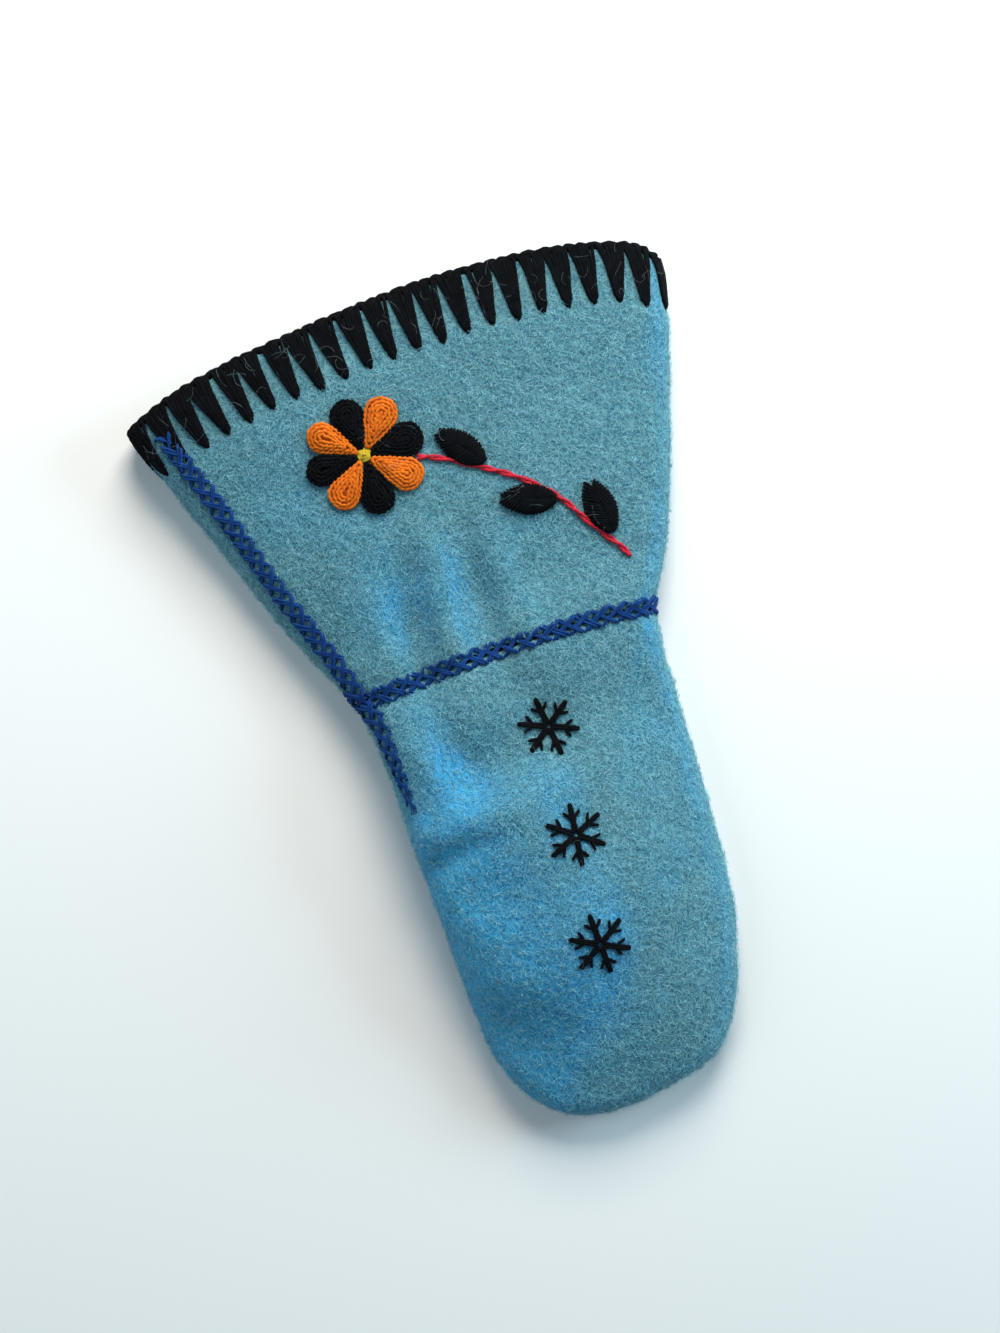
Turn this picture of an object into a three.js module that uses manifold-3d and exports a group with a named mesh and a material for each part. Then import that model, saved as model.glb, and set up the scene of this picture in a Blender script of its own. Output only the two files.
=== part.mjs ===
// An embroidered wool mitten with a flared gauntlet cuff, lying palm down with its thumb folded under.
// Millimetres: X across the back of the hand, Y from the finger tip to the cuff's rim, Z up.
// The pattern frame has its origin at the middle of the wrist seam. The last lines move it to the
// bottom centre of the whole mitten.
import * as THREE from "three";
import { mergeVertices } from "three/addons/utils/BufferGeometryUtils.js";
import Module from "manifold-3d";

const wasm = await Module();
wasm.setup();

// Cloth and yarn
const CLOTH = 3; // thickness of the felted wool
const GAP = 0.3; // between neighbouring pieces
const STAND = 0.6; // from the cloth to the underside of a stitched shape
const SIDE_STAND = 1; // the same for the rows beside the fold
const RING_STAND = 1.1; // the same for the rows of stitches that go all round
const YARN = 1.2; // how far a row of stitches stands off the cloth
const PADDING = 2.2; // how far a filled petal or leaf stands off the cloth

// How the mitten lies
const THUMB_HEIGHT = 11; // the folded thumb under the palm
const DRAPE = 30; // how far from the thumb the palm comes down to the surface
const WRIST_DRAPE = 12; // how far from the wrist's stitches the cloth starts to come down
const RIM_DRAPE = 4; // the same beyond the fans' tips
const EDGE_TOP = 9; // width of the rounded fold seen from above
const EDGE_UNDER = 11; // the same on the underside
const CROWN_REACH = 60; // distance from the fold at which the back is highest

// Mesh sizes
const COLUMNS = 24;
const CUFF_ROWS = 13;
const HAND_ROWS = 17;
const THUMB_CELLS = 9;
const FACET = { across: 3, along: 5.5 }; // half the size of the back's facets

// The flattened mitten's edge, from the rim's left corner round the finger tip to its right corner.
const OUTLINE = [
  { x: -126, y: 134.5 },
  { x: -112.5, y: 100 },
  { x: -101, y: 70 },
  { x: -90, y: 42 },
  { x: -79.5, y: 20 },
  { x: -70.5, y: 1, name: "wristLeft" },
  { x: -66, y: -20 },
  { x: -64.3, y: -50 },
  { x: -63, y: -85 },
  { x: -61.8, y: -125 },
  { x: -58, y: -158, name: "tipLeft" },
  { x: -47, y: -180 },
  { x: -31, y: -191.5 },
  { x: -12, y: -193 },
  { x: 10, y: -189.5 },
  { x: 31, y: -182 },
  { x: 44, y: -162, name: "tipRight" },
  { x: 53, y: -137 },
  { x: 57.3, y: -110 },
  { x: 58.7, y: -75 },
  { x: 59.8, y: -35 },
  { x: 62, y: 3, name: "wristRight" },
  { x: 72, y: 20 },
  { x: 80, y: 40 },
  { x: 94, y: 80 },
  { x: 103, y: 112 },
  { x: 107.5, y: 136.5 },
];
const RIM = [
  { x: -126, y: 134.5 },
  { x: -103, y: 143 },
  { x: -80, y: 148 },
  { x: -40, y: 153 },
  { x: 5, y: 156.5 },
  { x: 50, y: 155 },
  { x: 80, y: 150.5 },
  { x: 98, y: 145 },
  { x: 107.5, y: 136.5 },
];
const WRIST = [
  { x: -70.5, y: 1 },
  { x: -50, y: 2.2 },
  { x: -25, y: 4.2 },
  { x: 10, y: 5.4 },
  { x: 40, y: 4.8 },
  { x: 62, y: 3 },
];

// Heights along the mitten: the level of the side folds, the rounding above them, and the crown's rise.
const SECTIONS = [
  { y: -194, fold: 7.5, edge: 7.5, crown: 4.5 },
  { y: -150, fold: 8, edge: 8, crown: 8 },
  { y: -60, fold: 8, edge: 8, crown: 8 },
  { y: 0, fold: 7.5, edge: 7.5, crown: 6 },
  { y: 60, fold: 7.5, edge: 8, crown: 7 },
  { y: 160, fold: 7.5, edge: 7.5, crown: 5.5 },
];

// Soft folds and dents of the back: centre, reach along and across, turn from +Y in degrees, rise.
const SOFT_FOLDS = [
  { x: -50, y: 14, along: 16, across: 6, turn: 5, rise: -2 },
  { x: -40, y: 26, along: 28, across: 7, turn: 5, rise: 2.2 },
  { x: -26, y: 25, along: 30, across: 6.5, turn: -8, rise: -4.2 },
  { x: -13, y: 26, along: 27, across: 6.5, turn: -5, rise: 2.6 },
  { x: 2, y: 26, along: 27, across: 6.5, turn: -3, rise: -4 },
  { x: 14, y: 24, along: 24, across: 7, turn: 0, rise: 2.6 },
  { x: 28, y: 16, along: 18, across: 7, turn: 4, rise: -1.2 },
  { x: -41, y: -32, along: 22, across: 9, turn: 4, rise: -7 },
  { x: -53, y: -32, along: 24, across: 6, turn: 0, rise: 1.5 },
  { x: -54, y: -58, along: 8, across: 8, turn: 0, rise: -3 },
  { x: -30, y: -64, along: 30, across: 9, turn: 105, rise: 4 },
  { x: -40, y: -84, along: 16, across: 14, turn: 0, rise: -1.6 },
  { x: 47, y: -37, along: 9, across: 9, turn: 0, rise: -2 },
];

// The folded thumb: two round ends joined by straight sides, and its mouth in the palm.
const THUMB_BASE = { x: -38, y: -44, r: 21 };
const THUMB_TIP = { x: -27, y: -108, r: 17 };
const THUMB_EDGE = 9;
const THUMB_MOUTH = { x: -38, y: -46, rx: 14.5, ry: 16.5, bottom: 6, top: 17 };

// The black blanket stitch round the rim
const FANS = 44;
const FAN_LENGTH = 24;
const FAN_NOTCH = 4.5; // where neighbouring fans meet, below the rim
const RIM_CORD = 3.4; // the twisted edge cord's height beyond the rim

// The blue herringbone rows
const ROW_WIDTH = 7.5;
const CUFF_SIDE_ROW = { from: 7.75, to: 112, steps: 13 };
const HAND_SIDE_ROW = { from: -47, to: -3.75, steps: 8 };
const SIDE_INSETS = [
  { y: -47, inset: 6.8, width: 3 },
  { y: -8, inset: 6.6, width: 6.5 },
  { y: 8, inset: 9, width: 7.5 },
  { y: 75, inset: 13, width: 7.5 },
  { y: 112, inset: 13.5, width: 7.5 },
];

// The flower, its stem and leaves
const FLOWER = { x: -34, y: 97.3 };
const PETAL_START = 3.9;
const PETALS = [
  { name: "petal_black_1", turn: 96, length: 24, width: 12.9, yarn: "black" },
  { name: "petal_orange_1", turn: 50.5, length: 25.5, width: 12.9, yarn: "orange" },
  { name: "petal_black_2", turn: 4, length: 25.5, width: 13.4, yarn: "black" },
  { name: "petal_orange_2", turn: -41.5, length: 26, width: 12.9, yarn: "orange" },
  { name: "petal_black_3", turn: -89, length: 25, width: 13.2, yarn: "black" },
  { name: "petal_orange_3", turn: -134.5, length: 24.5, width: 12.4, yarn: "orange" },
  { name: "petal_black_4", turn: 182, length: 25, width: 12.2, yarn: "black" },
  { name: "petal_orange_4", turn: 140, length: 25, width: 12, yarn: "orange" },
];
const KNOT_RADIUS = 3.3;
const STEM_WIDTH = 2.4;
const STEM = [
  { x: -13.5, y: 90.2 },
  { x: -8, y: 88.2 },
  { x: 0, y: 84.3 },
  { x: 10, y: 78.3 },
  { x: 20, y: 72 },
  { x: 27, y: 66.5 },
  { x: 33, y: 61 },
  { x: 38.5, y: 54.5 },
  { x: 43.5, y: 46.5 },
  { x: 50, y: 36.8 },
  { x: 54.3, y: 31.2 },
  { x: 57.5, y: 25.2 },
];
const LEAVES = [
  { name: "leaf_1", x: 12, y: 80, turn: 130.5, length: 24, width: 13.5 },
  { name: "leaf_2", x: 35.2, y: 56.5, turn: 162, length: 24, width: 13.5 },
  { name: "leaf_3", x: 53, y: 37, turn: 97, length: 24.5, width: 14 },
];

// Three plain six-rayed stars down the back of the hand
const STARS = [
  { name: "star_1", x: 4, y: -31, turn: 8 },
  { name: "star_2", x: 1, y: -76, turn: -6 },
  { name: "star_3", x: -3, y: -121, turn: 3 },
];
const STAR_RADIUS = 13;
const RAY_WIDTH = 2.4;
const RAYS = 6;

const degrees = THREE.MathUtils.degToRad;
const lerp = THREE.MathUtils.lerp;

// 0 to 1 with no slope at either end
function smooth(share) {
  return THREE.MathUtils.smoothstep(share, 0, 1);
}

// A quarter ellipse's height, 0 at the fold and 1 from the given reach on
function rounding(distance, reach) {
  const left = 1 - Math.min(Math.max(distance, 0) / reach, 1);
  return Math.sqrt(1 - left * left);
}

// The value of a named column at y, from the rows of a table in rising y
function lookUp(rows, column, y) {
  if (y <= rows[0].y) return rows[0][column];
  for (let k = 1; k < rows.length; k++) {
    const [low, high] = [rows[k - 1], rows[k]];
    if (y <= high.y) return lerp(low[column], high[column], smooth((y - low.y) / (high.y - low.y)));
  }
  return rows.at(-1)[column];
}

// A smooth line through table rows, cut between two of them, as a function of the share of its length
function stretch(rows, from = 0, to = rows.length - 1, samples = 240) {
  const curve = new THREE.CatmullRomCurve3(rows.map((p) => new THREE.Vector3(p.x, p.y, 0)), false, "centripetal");
  const last = rows.length - 1;
  const points = Array.from({ length: samples + 1 }, (_, k) =>
    curve.getPoint(lerp(from, to, k / samples) / last),
  );
  const lengths = [0];
  for (let k = 1; k <= samples; k++) lengths.push(lengths[k - 1] + points[k].distanceTo(points[k - 1]));
  const at = (share) => {
    const wanted = share * lengths[samples];
    let k = 1;
    while (k < samples && lengths[k] < wanted) k++;
    const part = (wanted - lengths[k - 1]) / (lengths[k] - lengths[k - 1]);
    return points[k - 1].clone().lerp(points[k], part);
  };
  at.points = points;
  at.span = lengths[samples];
  return at;
}

const place = (name) => OUTLINE.findIndex((p) => p.name === name);
const cuffLeft = stretch(OUTLINE, place("wristLeft"), 0);
const cuffRight = stretch(OUTLINE, place("wristRight"), OUTLINE.length - 1);
const handLeft = stretch(OUTLINE, place("wristLeft"), place("tipLeft"));
const handRight = stretch(OUTLINE, place("wristRight"), place("tipRight"));
const fingerTip = stretch(OUTLINE, place("tipLeft"), place("tipRight"));
const wristLine = stretch(WRIST);
const rimLine = stretch(RIM);

// The whole edge as short straight pieces, run on a little past the rim's corners
const edgePieces = (() => {
  const points = stretch(OUTLINE, 0, OUTLINE.length - 1, 400).points;
  const past = (end, before) => end.clone().add(end.clone().sub(before).setLength(40));
  return [past(points[0], points[4]), ...points, past(points.at(-1), points.at(-5))];
})();

// Distance in plan from a point to the nearest piece of a line
function distanceTo(points, x, y) {
  let best = Infinity;
  for (let k = 1; k < points.length; k++) {
    const [a, b] = [points[k - 1], points[k]];
    const [dx, dy] = [b.x - a.x, b.y - a.y];
    const share = THREE.MathUtils.clamp(((x - a.x) * dx + (y - a.y) * dy) / (dx * dx + dy * dy), 0, 1);
    best = Math.min(best, Math.hypot(x - a.x - share * dx, y - a.y - share * dy));
  }
  return best;
}

// A line's y where it crosses x
function crossing(points, x) {
  const k = points.findIndex((p) => p.x >= x);
  if (k < 1) return (k < 0 ? points.at(-1) : points[0]).y;
  const [a, b] = [points[k - 1], points[k]];
  return lerp(a.y, b.y, (x - a.x) / (b.x - a.x));
}

// How high the cloth is carried: over the thumb, over the stitches under the wrist and under the rim
function lift(x, y) {
  const [base, tip] = [THUMB_BASE, THUMB_TIP];
  const [dx, dy] = [tip.x - base.x, tip.y - base.y];
  const share = THREE.MathUtils.clamp(((x - base.x) * dx + (y - base.y) * dy) / (dx * dx + dy * dy), 0, 1);
  const beyond =
    Math.hypot(x - base.x - share * dx, y - base.y - share * dy) - lerp(base.r, tip.r, share);
  const overThumb = (THUMB_HEIGHT + GAP) * smooth(1 - Math.max(beyond, 0) / DRAPE);
  const fromWrist = Math.abs(y - crossing(wristLine.points, x));
  const overWristRow = (RING_STAND + YARN + GAP) * smooth(2 - fromWrist / WRIST_DRAPE);
  const fromRim = crossing(rimLine.points, x) - y;
  const overFans = (RING_STAND + YARN + GAP) * smooth(2 - fromRim / (FAN_LENGTH + RIM_DRAPE));
  return overThumb + Math.max(overWristRow, overFans);
}

// The soft folds' height, none at the edge
function softFolds(x, y, distance) {
  let height = 0;
  for (const f of SOFT_FOLDS) {
    const [c, s] = [Math.cos(degrees(f.turn)), Math.sin(degrees(f.turn))];
    const along = (-(x - f.x) * s + (y - f.y) * c) / f.along;
    const across = ((x - f.x) * c + (y - f.y) * s) / f.across;
    height += f.rise * Math.exp(-along * along - across * across);
  }
  return height * rounding(distance, EDGE_TOP);
}

// Height of one of the four faces of the cloth. inset is 0 outside and the cloth's thickness inside.
function height(x, y, side, inset, atFold = false) {
  const fold = lookUp(SECTIONS, "fold", y);
  const distance = atFold ? 0 : distanceTo(edgePieces, x, y) - inset;
  const carried = fold + lift(x, y);
  if (side === "under") return carried - (fold - inset) * rounding(distance, EDGE_UNDER - inset);
  const edge = (lookUp(SECTIONS, "edge", y) - inset) * rounding(distance, EDGE_TOP - inset);
  const share = Math.min(Math.max(distance, 0) / CROWN_REACH, 1);
  const crown = lookUp(SECTIONS, "crown", y) * Math.sin((share * Math.PI) / 2);
  return carried + edge + crown + softFolds(x, y, distance);
}

// 0 to 1 with closer steps at the ends that bend round a fold
function towardsFolds(share) {
  return lerp(share, (1 - Math.cos(Math.PI * share)) / 2, 0.75);
}
function towardsTip(share) {
  return lerp(share, Math.sin((Math.PI * share) / 2), 0.7);
}

// A four-sided area between a start line, an end line and two sides, each a function from 0 to 1
function area(start, end, left, right) {
  return (across, along) => {
    const point = start(across).multiplyScalar(1 - along).addScaledVector(end(across), along);
    point.addScaledVector(left(along), 1 - across).addScaledVector(right(along), across);
    point.addScaledVector(start(0), -(1 - across) * (1 - along)).addScaledVector(start(1), -across * (1 - along));
    return point.addScaledVector(end(0), -(1 - across) * along).addScaledVector(end(1), -across * along);
  };
}

// A line moved sideways by the cloth's thickness; side is 1 to its left and -1 to its right
function inside(line, side) {
  const step = 1e-3;
  return (share) => {
    const [low, high] = [Math.max(share - step, 0), Math.min(share + step, 1)];
    const along = line(high).sub(line(low)).normalize();
    return line(share).add(new THREE.Vector3(-along.y, along.x, 0).multiplyScalar(side * CLOTH));
  };
}

// A line between two given ends that keeps the shape of another
function between(line, from, to) {
  return (share) =>
    line(share)
      .addScaledVector(from.clone().sub(line(0)), 1 - share)
      .addScaledVector(to.clone().sub(line(1)), share);
}

const cuffArea = area(wristLine, rimLine, cuffLeft, cuffRight);
const handArea = area(wristLine, fingerTip, handLeft, handRight);
const insideOf = (start, end, left, right, endIn) =>
  area(between(start, left(0), right(0)), between(endIn ?? end, left(1), right(1)), left, right);
const cuffInside = insideOf(wristLine, rimLine, inside(cuffLeft, -1), inside(cuffRight, 1));
const handInside = insideOf(
  wristLine,
  fingerTip,
  inside(handLeft, 1),
  inside(handRight, -1),
  inside(fingerTip, 1),
);

// Triangles of a sheet of points in rows; turned puts its face the other way
function addSheet(corners, rows, turned) {
  for (let j = 1; j < rows.length; j++)
    for (let i = 1; i < rows[j].length; i++) {
      const [a, b, c, d] = [rows[j - 1][i - 1], rows[j - 1][i], rows[j][i], rows[j][i - 1]];
      corners.push(...(turned ? [a, c, b, a, d, c] : [a, b, c, a, c, d]));
    }
}

function geometryOf(corners) {
  const geometry = new THREE.BufferGeometry().setFromPoints(corners);
  return mergeVertices(geometry, 1e-4);
}

function solidOf(geometry) {
  const bare = geometry.clone();
  bare.deleteAttribute("normal");
  bare.deleteAttribute("uv");
  const merged = mergeVertices(bare, 1e-4);
  const triVerts = new Uint32Array(merged.index.array);
  const vertProperties = merged.getAttribute("position").array;
  return new wasm.Manifold(new wasm.Mesh({ numProp: 3, vertProperties, triVerts }));
}

function geometryOfSolid(solid) {
  const mesh = solid.getMesh();
  const geometry = new THREE.BufferGeometry();
  geometry.setAttribute("position", new THREE.BufferAttribute(new Float32Array(mesh.vertProperties), 3));
  geometry.setIndex(new THREE.BufferAttribute(new Uint32Array(mesh.triVerts), 1));
  return geometry;
}

// A hollow cloth tube over an area. endOpen says whether its far end is open, as a rim, or a closed fold.
function clothTube(outer, inner, rowCount, rowShare, endOpen, seamShift) {
  const face = (plan, side, inset) =>
    Array.from({ length: rowCount + 1 }, (_, j) =>
      Array.from({ length: COLUMNS + 1 }, (_, i) => {
        const along = rowShare(j / rowCount);
        const p = plan(towardsFolds(i / COLUMNS), along);
        const atFold = i === 0 || i === COLUMNS || (!endOpen && j === rowCount);
        p.z = height(p.x, p.y, side, inset, atFold);
        p.y += seamShift * (1 - along);
        return p;
      }),
    );
  const [top, under] = [face(outer, "top", 0), face(outer, "under", 0)];
  const [topIn, underIn] = [face(inner, "top", CLOTH), face(inner, "under", CLOTH)];
  const corners = [];
  const turned = seamShift < 0;
  addSheet(corners, top, turned);
  addSheet(corners, under, !turned);
  addSheet(corners, topIn, !turned);
  addSheet(corners, underIn, turned);
  const ends = endOpen ? [0, rowCount] : [0];
  for (const end of ends) {
    const outward = turned === (end === 0);
    addSheet(corners, [top[end], topIn[end]], !outward);
    addSheet(corners, [under[end], underIn[end]], outward);
  }
  return geometryOf(corners);
}

// A point of the cloth's outer face with its normal. round goes once round from the left fold over the top.
function clothPoint(plan, round, along) {
  const at = (r, a) => {
    const turn = ((r % 1) + 1) % 1;
    const [side, share] = turn <= 0.5 ? ["top", 2 * turn] : ["under", 2 - 2 * turn];
    const p = plan(towardsFolds(share), a);
    p.z = height(p.x, p.y, side, 0, turn === 0 || turn === 0.5);
    return p;
  };
  const [dr, da] = [2e-3, 4e-3];
  const acrossStep = at(round + dr, along).sub(at(round - dr, along));
  const low = Math.max(along - da, 0);
  const alongStep = at(round, Math.min(low + 2 * da, 1)).sub(at(round, low));
  const normal = acrossStep.clone().cross(alongStep).normalize();
  return { point: at(round, along), normal, forward: alongStep.normalize() };
}

// Height of the back that also clears the flat facets across its hollows
function restHeight(x, y) {
  const at = (px, py) => height(px, py, "top", 0);
  const { across, along } = FACET;
  const overHollow = Math.max(at(x - across, y) + at(x + across, y), at(x, y - along) + at(x, y + along));
  return Math.max(at(x, y), overHollow / 2);
}

// A point of the back with its normal, from its place in plan
function backPoint(x, y) {
  const step = 0.5;
  const at = (px, py) => new THREE.Vector3(px, py, restHeight(px, py));
  const acrossStep = at(x + step, y).sub(at(x - step, y));
  const alongStep = at(x, y + step).sub(at(x, y - step));
  return { point: at(x, y), normal: acrossStep.cross(alongStep).normalize() };
}

// A closed ring through sections that all have the same number of points
function ringGeometry(sections) {
  const corners = [];
  const closed = sections.map((section) => [...section, section[0]]);
  addSheet(corners, [...closed, closed[0]], true);
  return geometryOf(corners);
}

// A closed strip through sections, with flat ends
function stripGeometry(sections) {
  const corners = [];
  addSheet(corners, sections.map((section) => [...section, section[0]]), false);
  for (const [section, turned] of [[sections[0], false], [sections.at(-1), true]])
    for (let k = 2; k < section.length; k++) {
      const [a, b, c] = [section[0], section[k - 1], section[k]];
      corners.push(...(turned ? [a, b, c] : [a, c, b]));
    }
  return geometryOf(corners);
}

// Shares once round a cloth ring that split its length evenly
function evenRounds(plan, along, count) {
  const samples = 720;
  const points = Array.from({ length: samples + 1 }, (_, k) => clothPoint(plan, k / samples, along).point);
  const lengths = [0];
  for (let k = 1; k <= samples; k++) lengths.push(lengths[k - 1] + points[k].distanceTo(points[k - 1]));
  return Array.from({ length: count }, (_, n) => {
    const wanted = ((n + 0.5) / count) * lengths[samples];
    const k = lengths.findIndex((l) => l >= wanted);
    return (k - 1 + (wanted - lengths[k - 1]) / (lengths[k] - lengths[k - 1])) / samples;
  });
}

// The blanket stitch: an edge cord over the rim with long fans of yarn down the cloth's outer face
function rimStitching() {
  const cuffLength = cuffLeft.span;
  const rounds = evenRounds(cuffArea, 1, 2 * FANS);
  const sections = rounds.map((round, k) => {
    const reach = k % 2 ? FAN_NOTCH : FAN_LENGTH;
    const toe = clothPoint(cuffArea, round, 1 - reach / cuffLength);
    const shoulder = clothPoint(cuffArea, round, 1 - (0.9 * FAN_NOTCH) / cuffLength);
    const { point, normal, forward } = clothPoint(cuffArea, round, 1);
    const onward = forward.setZ(0).normalize();
    const outward = normal.addScaledVector(onward, -normal.dot(onward)).normalize();
    const off = (from, out) => from.point.clone().addScaledVector(from.normal, out);
    const beyond = (reachOut, out) =>
      point.clone().addScaledVector(onward, reachOut).addScaledVector(outward, out);
    return [
      off(toe, RING_STAND),
      off(toe, RING_STAND + 0.5 * YARN),
      off(shoulder, RING_STAND + YARN),
      beyond(0.35 * RIM_CORD, YARN),
      beyond(RIM_CORD, -0.2 * CLOTH),
      beyond(0.7 * RIM_CORD, -0.9 * CLOTH),
      beyond(RING_STAND, -0.9 * CLOTH),
      beyond(RING_STAND, RING_STAND),
      off(shoulder, RING_STAND),
    ];
  });
  return ringGeometry(sections);
}

// The herringbone row round the wrist, half on the cuff and half on the hand
function wristStitching() {
  const columns = 2 * COLUMNS;
  const sections = Array.from({ length: columns }, (_, k) => {
    const round = k / columns;
    const half = 0.5 * ROW_WIDTH;
    const upper = clothPoint(cuffArea, round, half / cuffLeft.span);
    const lower = clothPoint(handArea, round, half / handLeft.span);
    const seam = clothPoint(cuffArea, round, 0);
    lower.normal.negate();
    const off = (from, out) => from.point.clone().addScaledVector(from.normal, out);
    return [
      off(upper, RING_STAND),
      off(upper, RING_STAND + 0.7 * YARN),
      off(seam, RING_STAND + YARN),
      off(lower, RING_STAND + 0.7 * YARN),
      off(lower, RING_STAND),
      off(seam, RING_STAND),
    ];
  });
  return ringGeometry(sections.reverse());
}

// A herringbone row beside the left fold, from one y to another
function sideStitching({ from, to, steps }) {
  const left = [...edgePieces.slice(0, edgePieces.findIndex((p) => p.y < -120))].reverse();
  const edgeX = (y) => {
    const k = left.findIndex((p) => p.y >= y);
    return lerp(left[k - 1].x, left[k].x, (y - left[k - 1].y) / (left[k].y - left[k - 1].y));
  };
  const sections = Array.from({ length: steps + 1 }, (_, k) => {
    const y = lerp(from, to, k / steps);
    const x = edgeX(y) + lookUp(SIDE_INSETS, "inset", y);
    const half = lookUp(SIDE_INSETS, "width", y) / 2;
    const off = (shift, out) => {
      const { point, normal } = backPoint(x + shift, y);
      return point.addScaledVector(normal, out);
    };
    return [
      off(-half, SIDE_STAND),
      off(-half, SIDE_STAND + 0.7 * YARN),
      off(0, SIDE_STAND + YARN),
      off(half, SIDE_STAND + 0.7 * YARN),
      off(half, SIDE_STAND),
      off(0, SIDE_STAND),
    ];
  });
  return stripGeometry(sections);
}

// A padded shape on the back: rings of its outline, shrunk towards the middle, rise to its full height
function paddedShape(outline, rise, rings = [1, 0.82, 0.45]) {
  const middle = outline.reduce((sum, p) => sum.add(p), new THREE.Vector2()).divideScalar(outline.length);
  const at = (p, share, out) => {
    const q = p.clone().sub(middle).multiplyScalar(share).add(middle);
    return new THREE.Vector3(q.x, q.y, restHeight(q.x, q.y) + STAND + out);
  };
  const rows = [
    ...[...rings].reverse().map((share) => outline.map((p) => at(p, share, 0))),
    ...rings.map((share, k) => outline.map((p) => at(p, share, k ? rise * (1 - 0.12 / k) : 0.45 * rise))),
  ];
  const corners = [];
  addSheet(corners, rows.map((row) => [...row, row[0]]), false);
  const caps = [
    [rows[0], at(middle, 1, 0), true],
    [rows.at(-1), at(middle, 1, rise), false],
  ];
  for (const [row, centre, turned] of caps)
    row.forEach((p, k) => {
      const next = row[(k + 1) % row.length];
      corners.push(...(turned ? [centre, next, p] : [centre, p, next]));
    });
  return geometryOf(corners);
}

// A teardrop petal: pointed at the flower's middle and round outside
function petalOutline({ turn, length, width }) {
  const round = width / 2;
  const axis = degrees(turn);
  const local = [{ x: PETAL_START, y: 0 }];
  const arc = 9;
  for (let k = 0; k < arc; k++) {
    const angle = lerp(-112, 112, k / (arc - 1));
    local.push({
      x: length - round + round * Math.cos(degrees(angle)),
      y: round * Math.sin(degrees(angle)) * 0.97,
    });
  }
  return local.map(
    (p) =>
      new THREE.Vector2(
        FLOWER.x + p.x * Math.cos(axis) - p.y * Math.sin(axis),
        FLOWER.y + p.x * Math.sin(axis) + p.y * Math.cos(axis),
      ),
  );
}

// An almond leaf from its base at the stem to its point
function leafOutline({ x, y, turn, length, width }) {
  const axis = degrees(turn);
  const steps = 6;
  const half = (share) => (width / 2) * Math.sin(Math.PI * share ** 0.8) ** 0.72;
  const side = (sign) => (_, k) => ({ along: k / steps, out: sign * half(k / steps) });
  const right = Array.from({ length: steps }, side(-1));
  const left = Array.from({ length: steps + 1 }, side(1)).slice(1).reverse();
  return [...right, ...left].map(({ along, out }) => {
    const [px, py] = [along * length, out];
    return new THREE.Vector2(
      x + px * Math.cos(axis) - py * Math.sin(axis),
      y + px * Math.sin(axis) + py * Math.cos(axis),
    );
  });
}

// A star of straight rays
function starOutline({ x, y, turn }) {
  const corners = [];
  const notch = RAY_WIDTH / 2 / Math.sin(Math.PI / RAYS);
  for (let ray = 0; ray < RAYS; ray++) {
    const angle = degrees(turn + 90 + (ray * 360) / RAYS);
    const half = Math.atan(RAY_WIDTH / 2 / STAR_RADIUS);
    for (const [radius, shift] of [[STAR_RADIUS, -half], [STAR_RADIUS, half], [notch, Math.PI / RAYS]])
      corners.push(
        new THREE.Vector2(x + radius * Math.cos(angle + shift), y + radius * Math.sin(angle + shift)),
      );
  }
  return corners;
}

// The stem's low strip of yarn, or with a margin the room that it needs
function stemGeometry(margin = 0) {
  const line = stretch(STEM);
  const steps = 22;
  const half = STEM_WIDTH / 2 + margin;
  const sections = Array.from({ length: steps + 1 }, (_, k) => {
    const share = k / steps;
    const middle = line(share);
    const along = line(Math.min(share + 0.01, 1)).sub(line(Math.max(share - 0.01, 0))).normalize();
    const off = (out, rise) => {
      const [px, py] = [middle.x - along.y * out, middle.y + along.x * out];
      return new THREE.Vector3(px, py, restHeight(px, py) + rise);
    };
    const foot = margin ? -CLOTH : STAND;
    const roof = margin ? PADDING + CLOTH + 2 * STAND : YARN;
    return [off(half, foot), off(half, foot + 0.5), off(0, foot + roof), off(-half, foot + 0.5), off(-half, foot)];
  });
  return stripGeometry(margin ? sections.map(tall) : sections);
}

// A section whose shoulders are as high as its middle
function tall(section) {
  const [a, b, c, d, e] = section;
  return [a, b.clone().setZ(c.z), c, d.clone().setZ(c.z), e];
}

// A leaf with the stem's room cut out of it, as its largest piece
function leafGeometry(leaf) {
  const cut = solidOf(paddedShape(leafOutline(leaf), PADDING)).subtract(solidOf(stemGeometry(GAP)));
  const pieces = cut.decompose().sort((a, b) => b.volume() - a.volume());
  return geometryOfSolid(pieces[0]);
}

// The upright oval that the thumb goes through
function mouthSolid() {
  const { x, y, rx, ry, bottom, top } = THUMB_MOUTH;
  const oval = new THREE.CylinderGeometry(1, 1, top - bottom, 24).rotateX(Math.PI / 2);
  return solidOf(oval.scale(rx, ry, 1).translate(x, y, (top + bottom) / 2));
}

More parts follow.
